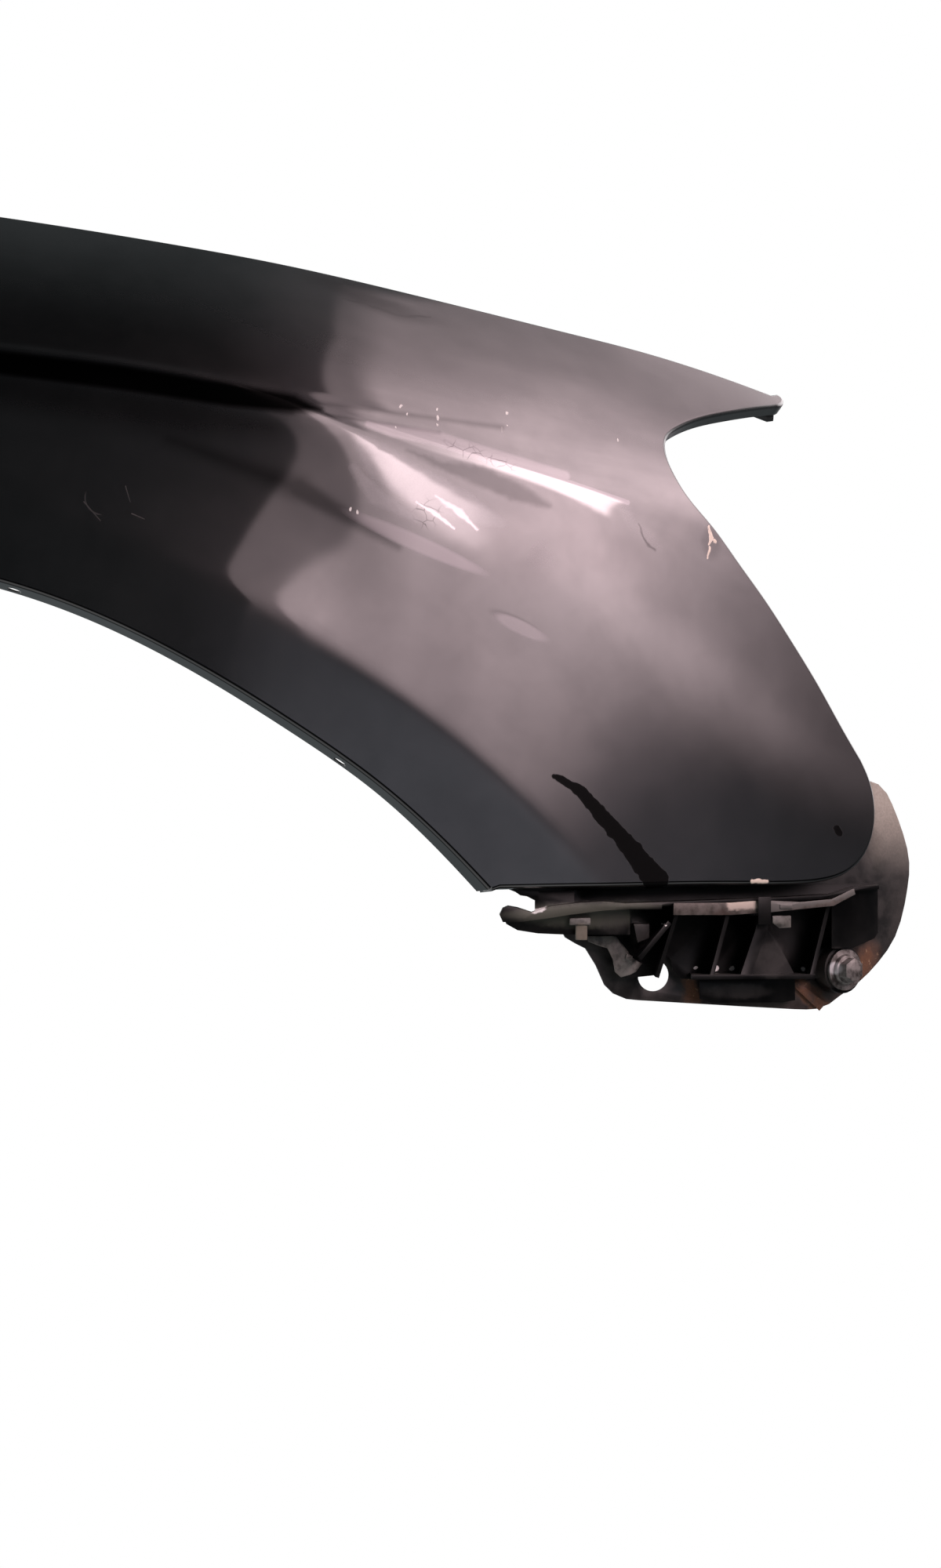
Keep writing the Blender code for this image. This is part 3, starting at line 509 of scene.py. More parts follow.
# =====================================================================================
# Finishes
# =====================================================================================
class Tree:
    """Shorthand for building one node tree."""

    def __init__(self, tree):
        self.tree, self.nodes, self.links = tree, tree.nodes, tree.links

    def plug(self, socket, value):
        if isinstance(value, bpy.types.NodeSocket):
            self.links.new(value, socket)
        elif value is not None:
            socket.default_value = value

    def math(self, op, a, b=None, c=None, clamp=False):
        node = self.nodes.new("ShaderNodeMath")
        node.operation, node.use_clamp = op, clamp
        for socket, value in zip(node.inputs, (a, b, c)):
            self.plug(socket, value)
        return node.outputs[0]

    def vmath(self, op, a, b=None, out=0, scale=None):
        node = self.nodes.new("ShaderNodeVectorMath")
        node.operation = op
        self.plug(node.inputs[0], a)
        self.plug(node.inputs[1], b)
        if scale is not None:
            self.plug(node.inputs["Scale"], scale)
        return node.outputs["Value"] if op in ("DOT_PRODUCT", "LENGTH", "DISTANCE") else node.outputs[0]

    def smooth(self, value, lo, hi, a=0.0, b=1.0):
        node = self.nodes.new("ShaderNodeMapRange")
        node.interpolation_type = "SMOOTHSTEP"
        for name, v in (("Value", value), ("From Min", lo), ("From Max", hi), ("To Min", a), ("To Max", b)):
            self.plug(node.inputs[name], v)
        return node.outputs["Result"]

    def noise(self, at, scale, detail=3.0, rough=.55, twist=0.0, colour=False):
        node = self.nodes.new("ShaderNodeTexNoise")
        self.plug(node.inputs["Vector"], at)
        for name, v in (("Scale", scale), ("Detail", detail), ("Roughness", rough), ("Distortion", twist)):
            self.plug(node.inputs[name], v)
        return node.outputs["Color" if colour else "Fac"]

    def cells(self, at, scale, feature="DISTANCE_TO_EDGE"):
        node = self.nodes.new("ShaderNodeTexVoronoi")
        node.feature = feature
        self.plug(node.inputs["Vector"], at)
        self.plug(node.inputs["Scale"], scale)
        return node.outputs["Distance"]

    def mix(self, f, a, b):
        node = self.nodes.new("ShaderNodeMix")
        node.data_type = "RGBA"
        self.plug(node.inputs["Factor"], f)
        for name, v in (("A", a), ("B", b)):
            self.plug(node.inputs[name], (*v, 1) if isinstance(v, tuple) and len(v) == 3 else v)
        return node.outputs["Result"]

    def lerp(self, f, a, b):
        node = self.nodes.new("ShaderNodeMix")
        node.data_type = "FLOAT"
        self.plug(node.inputs["Factor"], f)
        self.plug(node.inputs["A"], a)
        self.plug(node.inputs["B"], b)
        return node.outputs["Result"]

    def shade(self, colour, amount):
        """A colour made lighter or darker by a factor."""
        return self.vmath("SCALE", colour, scale=amount)

    def vec(self, x=0.0, y=0.0, z=0.0):
        node = self.nodes.new("ShaderNodeCombineXYZ")
        for socket, value in zip(node.inputs, (x, y, z)):
            self.plug(socket, value)
        return node.outputs[0]

    def split(self, v):
        node = self.nodes.new("ShaderNodeSeparateXYZ")
        self.plug(node.inputs[0], v)
        return node.outputs

    def both(self, *masks):
        out = masks[0]
        for m in masks[1:]:
            out = self.math("MULTIPLY", out, m)
        return out

    def any(self, *masks):
        out = masks[0]
        for m in masks[1:]:
            out = self.math("MAXIMUM", out, m)
        return out

    def stroke(self, at, a, b, ra, rb, soft=.4):
        """1 inside a tapered stroke between two points of the side view."""
        d = (b[0] - a[0], b[1] - a[1], 0)
        rel = self.vmath("SUBTRACT", at, (a[0], a[1], 0))
        t = self.math("MULTIPLY", self.vmath("DOT_PRODUCT", rel, d), 1 / (d[0] ** 2 + d[1] ** 2), clamp=True)
        dist = self.vmath("DISTANCE", rel, self.vmath("SCALE", d, scale=t))
        return self.smooth(self.math("SUBTRACT", self.math("MULTIPLY_ADD", t, rb - ra, ra), dist), -soft, soft)

    def blob(self, at, centre, along, across, turn=0.0, soft=.35):
        """1 inside a soft ellipse; turn is in degrees, nose up."""
        c, s = math.cos(math.radians(turn)), math.sin(math.radians(turn))
        rel = self.vmath("SUBTRACT", at, (centre[0], centre[1], 0))
        u = self.vmath("DOT_PRODUCT", rel, (c / along, s / along, 0))
        v = self.vmath("DOT_PRODUCT", rel, (-s / across, c / across, 0))
        return self.smooth(self.vmath("LENGTH", self.vec(u, v, 0.0)), 1 + soft, 1 - soft)

    def bump(self, height, distance=.001, strength=1.0, normal=None):
        node = self.nodes.new("ShaderNodeBump")
        for name, v in (("Strength", strength), ("Distance", distance), ("Height", height), ("Normal", normal)):
            self.plug(node.inputs[name], v)
        return node.outputs[0]


def material(name):
    mat = bpy.data.materials.new(name)
    mat.use_nodes = True
    t = Tree(mat.node_tree)
    shader = mat.node_tree.nodes["Principled BSDF"]
    coord = t.nodes.new("ShaderNodeTexCoord").outputs["Object"]
    return mat, t, shader, coord


def side_view(t, coord):
    """The (forward, up) point in datum millimetres as a flat vector."""
    x, y, z = t.split(coord)
    return t.vec(t.math("MULTIPLY", x, 1000.0), t.math("MULTIPLY_ADD", z, 1000.0, FLANGE_Z), 0.0)


def span(t, at, p, q, ra, rb, soft=.4):
    return t.stroke(at, seen(*p), seen(*q), ra, rb, soft)


def chain(t, at, points, radii, soft=.4):
    """A stroke through several pixels."""
    out = None
    for (p, q, ra, rb) in zip(points, points[1:], radii, radii[1:]):
        s = span(t, at, p, q, ra, rb, soft)
        out = s if out is None else t.any(out, s)
    return out


def slant(p, q):
    a, b = seen(*p), seen(*q)
    return math.degrees(math.atan2(b[1] - a[1], b[0] - a[0]))


# ---- graphite metallic paint
paint, t, bsdf, coord = material("graphite_paint")
flat = side_view(t, coord)
wander = t.vmath("SCALE", t.vmath("SUBTRACT", t.noise(coord, 240.0, 1.0, colour=True), (.5, .5, .5)), scale=2.2)
wander = t.vmath("MULTIPLY", wander, (1, 1, 0))
ragged = t.vmath("ADD", flat, wander)
broad = t.vmath("ADD", flat, t.vmath("MULTIPLY", t.vmath("SCALE", t.vmath(
    "SUBTRACT", t.noise(coord, 30.0, 2.0, colour=True), (.5, .5, .5)), scale=16.0), (1, 1, 0)))

cloud = t.noise(coord, 13.0, 4.0, .55, .4)
fine_cloud = t.noise(coord, 46.0, 4.0, .6, .3)
flake = t.noise(coord, 1700.0, 0.0)
colour = t.mix(t.smooth(cloud, .38, .64), (.0165, .0160, .0170), (.0190, .0178, .0183))
colour = t.shade(colour, t.math("ADD", t.smooth(fine_cloud, .3, .7, .93, 1.07),
                                t.smooth(flake, .35, .65, -.05, .05)))

# dark crackle round the shoulder; painted shade: a black band under the crease and a dark band of reflection below the
# highlight strip
crack = t.smooth(t.cells(t.vmath("ADD", coord, t.vmath("SCALE", wander, scale=.0012)), 170.0), .035, .010)
# painted shade: a black band below the crease, darkening the colour and thinning the coat
painted_crease_shade = t.any(chain(t, flat, [(-500, 405), (150, 481), (290, 503), (372, 514), (408, 522)], [5.4, 6.0, 5.8, 4.6, 1.0], 2.4),
            t.math("MULTIPLY", chain(t, flat, [(-500, 424), (240, 528), (345, 545)], [9, 9, 3], 8.0), .45))
painted_crease_shade = t.math("MULTIPLY", painted_crease_shade, t.smooth(t.split(coord)[0], -.085, .04))
crackle_zone = t.any(t.blob(flat, seen(596, 575), 10, 3.4, slant((560, 560), (640, 592)), .5),
                     t.blob(flat, seen(545, 655), 5.5, 6.5, -20, .5),
                     t.blob(flat, seen(640, 590), 7, 2.6, slant((560, 560), (640, 592)), .5))
crackle = t.both(crack, crackle_zone)
# painted reflection: a dark band between the highlight strip and the lit patch below it
painted_dark_band = chain(t, ragged, [(520, 574), (560, 592), (612, 607), (660, 628), (700, 645)], [.4, 1.8, 4.6, 4.2, 1.0], 1.8)

# painted shade: a dark soft streak of reflection under the bright lens, the thin dark line of the crease over the
# shoulder, and dark reflections near the top edge
painted_dark_streak = t.any(span(t, flat, (215, 560), (380, 622), 2.0, 5.0, 5.0), span(t, flat, (380, 622), (508, 698), 5.0, .8, 2.8))
painted_crease_line = t.any(span(t, flat, (410, 528), (560, 552), .5, .9, .9), span(t, flat, (330, 505), (640, 545), .5, 1.1, 1.6))
painted_top_reflection = t.any(chain(t, ragged, [(438, 380), (480, 392), (512, 403), (548, 404)], [.3, 1.0, 1.3, .5], .8),
                   t.blob(broad, seen(470, 380), 26, 5, -16, .7))

# pale smear, and a pale ellipse with a darker rim at its upper left; painted shade: a dark hook where the crease ends;
# painted highlights: a long pale lens, bright tips and a pink glow; scratches and specks
smear = chain(t, broad, [(802, 640), (812, 668), (846, 700)], [2.4, 3.4, 1.2], 2.4)
# painted shade: the dark hook where the crease ends
painted_hook_shade = chain(t, ragged, [(814, 668), (824, 692), (836, 702)], [.2, .55, .3], .6)
lens = t.both(t.blob(flat, seen(664, 800), 12.5, 3.0, slant((634, 786), (694, 815)), .25))
lens_rim = t.both(t.blob(flat, seen(659, 795), 12.5, 3.0, slant((634, 786), (694, 815)), .25),
                  t.math("SUBTRACT", 1.0, lens))
# painted highlight: the long pale lens of reflection
painted_lens_highlight = t.blob(flat, seen(530, 692), 31, 3.4, slant((445, 655), (608, 727)), .28)
# painted highlight: bright tips at the lower edge of the lit patch
painted_highlight_tips = t.any(chain(t, ragged, [(556, 632), (586, 654), (610, 676)], [.4, 1.3, .3], .7),
                    chain(t, ragged, [(530, 640), (556, 656), (580, 674)], [.3, .9, .3], .6))
# painted highlight: a broad pinkish glow in the middle of the lit zone
painted_pink_glow = t.blob(broad, seen(700, 690), 44, 20, -14, .8)
scratches = None
for p, q, r in (((107, 640), (128, 664), .22), ((168, 655), (184, 662), .22), ((160, 620), (166, 640), .16),
                ((640, 545), (640, 551), .25)):
    s = span(t, flat, p, q, r, r * .6, .22)
    scratches = s if scratches is None else t.any(scratches, s)
ring = seen(132, 634)
arc = t.both(t.smooth(t.math("ABSOLUTE", t.math("SUBTRACT", t.vmath("DISTANCE", flat, (ring[0], ring[1], 0)), 8.0)), .5, .1),
             t.blob(flat, seen(112, 648), 6, 7, 0, .2))
specks = None
for p, r in (((511, 518), .6), ((558, 522), .45), ((559, 533), .6), ((557, 542), .45), ((646, 527), .55), ((647, 543), .25),
             ((788, 561), .4), ((505, 546), .35), ((520, 528), .35), ((455, 653), .5), ((446, 650), .6)):
    s = t.blob(ragged, seen(*p), r, r * 1.5, 0, .3)
    specks = s if specks is None else t.any(specks, s)

# chip with bare cream filler by the lamp edge, worn corner and hem
chip = t.any(chain(t, ragged, [(903, 672), (907, 686), (904, 694)], [.4, .8, .3], .35),
             chain(t, ragged, [(905, 698), (902, 711)], [.6, .25], .3), t.blob(ragged, seen(911, 690), .5, 1.1, 30, .3))
chip_rim = t.blob(ragged, seen(907, 692), 4.4, 7.5, 0, .4)
hem_chip = t.stroke(ragged, (seen(960, 1121)[0], -283.9), (seen(978, 1121)[0], -283.9), 1.1, .9, .3)

# the long black mark and the small black spot
mark = t.any(chain(t, ragged, [(711, 991), (741, 1010), (778, 1052), (812, 1092), (836, 1122)], [1.4, 2.7, 3.6, 4.6, 5.8], .30),
             chain(t, ragged, [(706, 990), (716, 993)], [1.0, 1.4], .3))
spot = t.blob(ragged, seen(1069, 1060), 1.9, 3.0, 25, .14)
black_mark = t.any(mark, spot)

# dark: mostly painted shade (crease band, dark bands and streaks, top reflection, hook), with real crackle and the
# darker rims round the chip and the pale ellipse
dark = t.any(t.math("MULTIPLY", crackle, .75), t.math("MULTIPLY", painted_dark_band, .42), t.math("MULTIPLY", painted_crease_shade, .96), t.math("MULTIPLY", painted_dark_streak, .60),
             t.math("MULTIPLY", painted_crease_line, .38), t.math("MULTIPLY", painted_top_reflection, .50), t.math("MULTIPLY", painted_hook_shade, .6),
             t.math("MULTIPLY", lens_rim, .30), t.math("MULTIPLY", chip_rim, .25))
# painted highlights on top of the lamp reflections: the strip along the crease fillet and the lens-shaped patch below
# it
strip = t.any(t.math("MULTIPLY", chain(t, flat, [(470, 541), (500, 549), (553, 558), (627, 581), (720, 607)], [1.4, 2.7, 3.3, 3.2, 2.2], 1.0), .8),
              chain(t, flat, [(600, 578), (700, 607), (800, 641)], [1.0, 1.25, 1.15], .35))
patch = t.both(t.any(chain(t, ragged, [(462, 566), (484, 588), (530, 618), (590, 646), (640, 668)], [3.6, 7.2, 7.8, 6.4, 1.6], 1.8),
                     chain(t, ragged, [(450, 596), (480, 634), (530, 662)], [1.6, 3.6, 1.0], 1.6)),
               t.smooth(fine_cloud, .30, .62, .72, 1.0))
# light: painted highlights (strip, patch, lens, pink glow) together with the pale smear and pale ellipse
light = t.any(t.math("MULTIPLY", strip, 2.2), t.math("MULTIPLY", patch, 2.6), t.math("MULTIPLY", smear, .55), t.math("MULTIPLY", lens, .8), t.math("MULTIPLY", painted_lens_highlight, 1.5),
              t.math("MULTIPLY", painted_pink_glow, .30))
colour = t.shade(colour, t.math("SUBTRACT", 1.0, dark))
# coat thinned under the painted shade, and at random
veil = t.both(t.math("SUBTRACT", 1.0, t.math("MULTIPLY", dark, .80)), t.math("SUBTRACT", 1.0, t.math("MULTIPLY", painted_crease_shade, .90)), t.smooth(cloud, .36, .66, .84, 1.0),
              t.smooth(fine_cloud, .30, .62, .93, 1.0))
colour = t.shade(colour, t.math("MULTIPLY_ADD", light, .9, 1.0))
# painted pink glow
colour = t.mix(t.math("MULTIPLY", painted_pink_glow, .3), colour, (.030, .023, .0245))
# painted highlights and the pale ellipse whiten the colour
colour = t.mix(t.any(t.math("MULTIPLY", painted_lens_highlight, .75), t.math("MULTIPLY", lens, .35), t.math("MULTIPLY", strip, .75)),
               colour, (.075, .067, .073))
fleck = t.any(t.math("MULTIPLY", scratches, .22), t.math("MULTIPLY", arc, .14))
colour = t.mix(fleck, colour, (.34, .32, .31))
colour = t.mix(t.math("MULTIPLY", specks, .85), colour, (.80, .77, .74))
# painted highlight tips
colour = t.mix(t.math("MULTIPLY", painted_highlight_tips, .45), colour, (.42, .38, .40))
colour = t.mix(t.any(chip, hem_chip), colour, (.72, .62, .52))
colour = t.mix(black_mark, colour, (.0012, .0012, .0013))
bare = t.any(black_mark, chip, hem_chip, specks, t.math("MULTIPLY", fleck, .8))
t.plug(bsdf.inputs["Base Color"], colour)
t.plug(bsdf.inputs["Metallic"], t.math("SUBTRACT", 1.0, bare))
rough = t.math("ADD", t.smooth(fine_cloud, .3, .7, .275, .300), t.math("MULTIPLY", t.any(light, dark), .06))
t.plug(bsdf.inputs["Roughness"], t.lerp(bare, rough, .60))
t.plug(bsdf.inputs["Specular IOR Level"], t.math("SUBTRACT", .5, t.math("MULTIPLY", black_mark, .46)))
bsdf.inputs["Coat IOR"].default_value = 1.75
t.plug(bsdf.inputs["Coat Weight"], t.math("MULTIPLY", veil, t.math("SUBTRACT", 1.0, t.math("MULTIPLY", bare, .98))))
bsdf.inputs["Coat Roughness"].default_value = .045
ripple = t.math("MULTIPLY", t.noise(coord, 28.0, 2.0, .5), t.blob(broad, seen(545, 615), 46, 22, -22, .8))
t.plug(bsdf.inputs["Normal"], t.bump(t.math("MULTIPLY", t.noise(coord, 360.0, 2.0), .0035)))
t.plug(bsdf.inputs["Coat Normal"], t.bump(t.math("MULTIPLY", ripple, .09)))

# ---- body primer inside the skin and on the stampings: thin overspray, dust and stains
def primer(name, base, over, dusty):
    mat, t, bsdf, coord = material(name)
    cloud = t.noise(coord, 9.0, 5.0, .6, .6)
    spray = t.noise(coord, 48.0, 4.0, .65)
    grain = t.noise(coord, 900.0, 2.0)
    up = t.split(t.nodes.new("ShaderNodeNewGeometry").outputs["Normal"])[2]
    colour = t.mix(t.smooth(cloud, .36, .66), base, over)
    colour = t.shade(colour, t.smooth(grain, .3, .7, .88, 1.12))
    lie = t.both(t.smooth(up, .2, .9), t.smooth(spray, .42, .62))
    colour = t.mix(t.math("MULTIPLY", lie, .55), colour, dusty)
    run = t.noise(t.vmath("MULTIPLY", coord, (60.0, 60.0, 6.0)), 1.0, 3.0, .6)
    colour = t.mix(t.smooth(run, .60, .72, 0.0, .22), colour, dusty)
    t.plug(bsdf.inputs["Base Color"], colour)
    t.plug(bsdf.inputs["Roughness"], t.smooth(spray, .3, .7, .38, .60))
    t.plug(bsdf.inputs["Normal"], t.bump(t.math("ADD", t.math("MULTIPLY", grain, .010), t.math("MULTIPLY", spray, .03))))
    return mat


under = primer("inner_primer", (.030, .031, .034), (.050, .047, .047), (.150, .135, .118))
stamping = primer("stamping_primer", (.022, .022, .024), (.040, .038, .038), (.150, .135, .118))

mesh.materials.append(paint)
mesh.materials.append(under)
mesh.polygons.foreach_set("material_index", np.where(kinds == 1, 1, 0).astype(np.int32))


# ---- black moulding
def placed(t, coord):
    """Side-view point and the direction a face looks, for the pieces under the skin."""
    n = t.split(t.nodes.new("ShaderNodeNewGeometry").outputs["Normal"])
    return side_view(t, coord), n


def near(px, py, behind=12.0):
    return seen(px, py, behind)


black, t, bsdf, coord = material("black_moulding")
flat, n = placed(t, coord)
wob = t.vmath("ADD", flat, t.vmath("MULTIPLY", t.vmath("SCALE", t.vmath(
    "SUBTRACT", t.noise(coord, 300.0, 3.0, colour=True), (.5, .5, .5)), scale=2.4), (1, 1, 0)))
grain = t.noise(coord, 1300.0, 2.0)
dirt = t.noise(coord, 130.0, 4.0, .6)
worn = t.noise(coord, 42.0, 3.0, .6, .5)
colour = t.mix(t.smooth(worn, .35, .7), (.0018, .0018, .0020), (.0050, .0047, .0046))
lie = t.both(t.smooth(n[2], .35, .95), t.smooth(dirt, .38, .64, .12, 1.0))
colour = t.mix(t.math("MULTIPLY", lie, .30), colour, (.060, .058, .050))
# painted light: the arm's lit upper face made lighter, and its shaded underside lifted to a dark olive
painted_lit_arm = t.both(t.blob(wob, near(740, 1162, 8), 34, 3.4, 3, .35), t.smooth(n[2], -.3, .2))
painted_underside_light = t.blob(wob, near(738, 1168, 8), 27, 5.2, -3, .35)
colour = t.mix(t.math("MULTIPLY", painted_underside_light, .8), colour, (.080, .082, .066))
colour = t.mix(t.math("MULTIPLY", painted_lit_arm, .9), colour, (.105, .108, .088))
face = t.any(t.blob(wob, near(782, 1176, 12), 6.6, 5.2, 0, .3),
             t.blob(wob, near(815, 1190, 12), 4.6, 6.0, 30, .3),
             t.blob(wob, near(983, 1222, 12), 8.6, 8.4, 0, .3),
             t.blob(wob, near(940, 1264, 20), 16, 3.4, -2, .3))
colour = t.mix(t.math("MULTIPLY", t.both(face, t.smooth(dirt, .25, .65, .4, 1.0)), .55), colour, (.052, .049, .047))
# painted highlights: glints at the bottoms of the rib pockets and one more spot, and a white highlight by the arm's tip
glint = None
for p, r, d in (((889, 1236), 1.0, 8), ((916, 1237), 1.35, 8), ((936, 1237), 1.2, 8), ((1027, 1238), 1.15, 8), ((848, 1180), .6, 8)):
    s = t.blob(wob, near(*p, d), r, r * .75, 0, .25)
    glint = s if glint is None else t.any(glint, s)
painted_gap_highlight = painted_gap_glint = t.blob(wob, near(687, 1161, 8), 3.4, .95, 18, .3)
colour = t.mix(t.any(glint, painted_gap_highlight), colour, (.80, .78, .76))
hub = t.both(t.blob(wob, near(1063, 1234, 12), 9.6, 9.6, 0, .1), t.smooth(n[1], -.2, -.7))
colour = t.mix(t.math("MULTIPLY", hub, .5), colour, (.060, .054, .050))
t.plug(bsdf.inputs["Base Color"], colour)
t.plug(bsdf.inputs["Roughness"], t.lerp(lie, t.smooth(worn, .3, .7, .30, .46), .72))
bsdf.inputs["Specular IOR Level"].default_value = .22
t.plug(bsdf.inputs["Normal"], t.bump(t.math("ADD", t.math("MULTIPLY", grain, .012), t.math("MULTIPLY", dirt, .05))))

# ---- grey clips
grey, t, bsdf, coord = material("grey_clip")
flat, n = placed(t, coord)
dirt = t.noise(coord, 260.0, 4.0, .6)
colour = t.mix(t.smooth(dirt, .32, .68), (.040, .038, .034), (.125, .120, .108))
beige = t.blob(flat, near(742, 1190, 6), 3.2, 4.6, 0, .2)
colour = t.mix(t.math("MULTIPLY", beige, .55), colour, (.24, .20, .15))
# pale: painted highlights on the tee clip's head and the push clip's boss, and a pale spot on the spring, broken up by
# dirt
pale = t.any(t.blob(flat, near(742, 1174, 5), 5.4, 1.8, 0, .2), t.blob(flat, near(798, 1232, 18), 5, 5, 0, .4),
             t.blob(flat, near(990, 1172, 6), 3.2, 2.2, 0, .4))
colour = t.mix(t.math("MULTIPLY", t.both(pale, t.smooth(dirt, .3, .6, .4, 1.0)), .7), colour, (.22, .21, .195))
t.plug(bsdf.inputs["Base Color"], colour)
t.plug(bsdf.inputs["Roughness"], t.smooth(dirt, .3, .7, .36, .60))
t.plug(bsdf.inputs["Normal"], t.bump(t.math("MULTIPLY", dirt, .08)))

# ---- retainer strip: tarnished, with a cream patch
steel, t, bsdf, coord = material("tarnished_strip")
flat, n = placed(t, coord)
wob = t.vmath("ADD", flat, t.vmath("MULTIPLY", t.vmath("SCALE", t.vmath(
    "SUBTRACT", t.noise(coord, 300.0, 3.0, colour=True), (.5, .5, .5)), scale=3.0), (1, 1, 0)))
dirt = t.noise(coord, 170.0, 4.0, .65)
colour = t.mix(t.smooth(dirt, .32, .66), (.050, .040, .034), (.125, .105, .095))
cream = t.stroke(wob, near(932, 1154, 3), near(962, 1154, 3), 2.2, 1.7, .8)
colour = t.mix(t.math("MULTIPLY", cream, .85), colour, (.52, .44, .38))
greyer = t.stroke(wob, near(980, 1156, 3), near(1087, 1137, 3), 3.4, 2.6, .8)
colour = t.mix(t.math("MULTIPLY", greyer, .8), colour, (.115, .112, .105))
brown = t.blob(wob, near(920, 1168, 3), 5.0, 2.6, 0, .4)
colour = t.mix(t.math("MULTIPLY", brown, .6), colour, (.060, .036, .028))
t.plug(bsdf.inputs["Base Color"], colour)
bsdf.inputs["Metallic"].default_value = .25
t.plug(bsdf.inputs["Roughness"], t.smooth(dirt, .3, .7, .42, .66))
t.plug(bsdf.inputs["Normal"], t.bump(t.math("MULTIPLY", dirt, .10)))

# ---- zinc bolt and washer
zinc, t, bsdf, coord = material("zinc_plate")
flat, n = placed(t, coord)
dirt = t.noise(coord, 240.0, 4.0, .6)
fine = t.noise(coord, 900.0, 2.0)
colour = t.mix(t.smooth(dirt, .34, .66), (.060, .052, .047), (.230, .215, .205))
# painted highlight on the bolt head
painted_bolt_highlight = t.blob(flat, near(1066, 1236, 4), 3.4, 2.8, 0, .3)
colour = t.mix(t.math("MULTIPLY", painted_bolt_highlight, .9), colour, (.62, .61, .62))
t.plug(bsdf.inputs["Base Color"], colour)
bsdf.inputs["Metallic"].default_value = .55
t.plug(bsdf.inputs["Roughness"], t.smooth(dirt, .3, .7, .30, .55))
t.plug(bsdf.inputs["Normal"], t.bump(t.math("ADD", t.math("MULTIPLY", dirt, .05), t.math("MULTIPLY", fine, .01))))

# ---- the support plate: dark primer, paling to dusty brown-grey towards its front edge, rust at the foot
plate_mat, t, bsdf, coord = material("plate_primer")
flat, n = placed(t, coord)
wob = t.vmath("ADD", flat, t.vmath("MULTIPLY", t.vmath("SCALE", t.vmath(
    "SUBTRACT", t.noise(coord, 120.0, 4.0, colour=True), (.5, .5, .5)), scale=7.0), (1, 1, 0)))
dirt = t.noise(coord, 110.0, 4.0, .6)
grain = t.noise(coord, 900.0, 2.0)
colour = t.mix(t.smooth(dirt, .35, .66), (.0075, .0070, .0070), (.020, .0180, .0165))
wx, wz, _ = t.split(wob)
front = t.smooth(wx, 498.0, 515.0)
colour = t.mix(t.math("MULTIPLY", front, .55), colour, (.055, .048, .044))
# painted highlight: a cream edge where the plate's top shows beside the skin's nose
crest = t.both(t.smooth(wz, -286.0, -244.0), t.smooth(wx, 486.0, 497.0))
colour = t.mix(t.math("MULTIPLY", crest, .75), colour, (.44, .40, .34))
# painted shade: the plate darkened in the gap between the skin and the strip
painted_gap_shade = t.both(t.smooth(wz, -296.0, -291.0), t.smooth(wx, 490.0, 480.0))
colour = t.shade(colour, t.math("MULTIPLY_ADD", painted_gap_shade, -.75, 1.0))
lower = t.both(t.smooth(wz, -326.0, -341.0), t.smooth(wx, 380.0, 470.0, .2, 1.0))
colour = t.mix(t.math("MULTIPLY", lower, .45), colour, (.070, .052, .046))
rust = t.both(t.any(t.stroke(wob, near(1010, 1248, 24), near(1048, 1284, 24), 3.4, 4.4, 1.6),
                    t.blob(wob, near(1100, 1225, 24), 9, 7, 40, .5),
                    t.stroke(wob, near(880, 1246, 24), near(882, 1274, 24), 2.4, 4.2, 1.6)),
              t.smooth(dirt, .30, .60, .35, 1.0))
colour = t.mix(t.math("MULTIPLY", rust, .85), colour, (.130, .056, .026))
scale_ = t.both(t.smooth(t.noise(coord, 420.0, 3.0, .6), .60, .70), rust)
colour = t.mix(t.math("MULTIPLY", scale_, .8), colour, (.34, .22, .13))
t.plug(bsdf.inputs["Base Color"], t.shade(colour, t.smooth(grain, .3, .7, .9, 1.1)))
t.plug(bsdf.inputs["Roughness"], t.lerp(rust, t.smooth(dirt, .3, .7, .34, .55), .85))
t.plug(bsdf.inputs["Normal"], t.bump(t.math("ADD", t.math("MULTIPLY", dirt, .06), t.math("MULTIPLY", rust, .10))))


# =====================================================================================
# The pieces under the skin: the CAD's shapes with softened edges
# =====================================================================================
def softened(name, mat, radius, segments=2, flatten=1.2, keep=28.0):
    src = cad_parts[name]
    bm = bmesh.new()
    bm.from_mesh(src.data)
    bmesh.ops.remove_doubles(bm, verts=bm.verts, dist=1e-6)
    bmesh.ops.dissolve_limit(bm, angle_limit=math.radians(flatten), verts=bm.verts, edges=bm.edges)
    made = bpy.data.meshes.new(name + "_fine")
    bm.to_mesh(made)
    bm.free()
    obj = bpy.data.objects.new(name + "_fine", made)
    bpy.context.scene.collection.objects.link(obj)
    obj.matrix_world = src.matrix_world
    mod = obj.modifiers.new("soft_edges", "BEVEL")
    mod.width, mod.segments = radius * MM, segments
    mod.limit_method, mod.angle_limit = "ANGLE", math.radians(keep)
    mod.use_clamp_overlap = True
    mod.miter_outer = "MITER_ARC"
    graph = bpy.context.evaluated_depsgraph_get()
    done = bpy.data.meshes.new_from_object(obj.evaluated_get(graph))
    obj.modifiers.clear()
    obj.data = done
    done.shade_smooth()
    done.set_sharp_from_angle(angle=math.radians(38))
    done.materials.clear()
    done.materials.append(mat)
    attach(obj, "root")
    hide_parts(name)
    return obj


for name, mat, radius in (("support_plate", plate_mat, .25), ("bumper_bracket", black, .45), ("retainer_strip", steel, .35),
                          ("bracket_bolt", zinc, .35), ("bolt_washer", zinc, .3), ("weld_nut", zinc, .3),
                          ("push_clip", grey, .4), ("tee_clip", grey, .4), ("retaining_spring", grey, .35),
                          ("lamp_bracket", stamping, .3), ("rear_upper_bracket", stamping, .3),
                          ("rear_lower_bracket", stamping, .3)):
    softened(name, mat, radius)

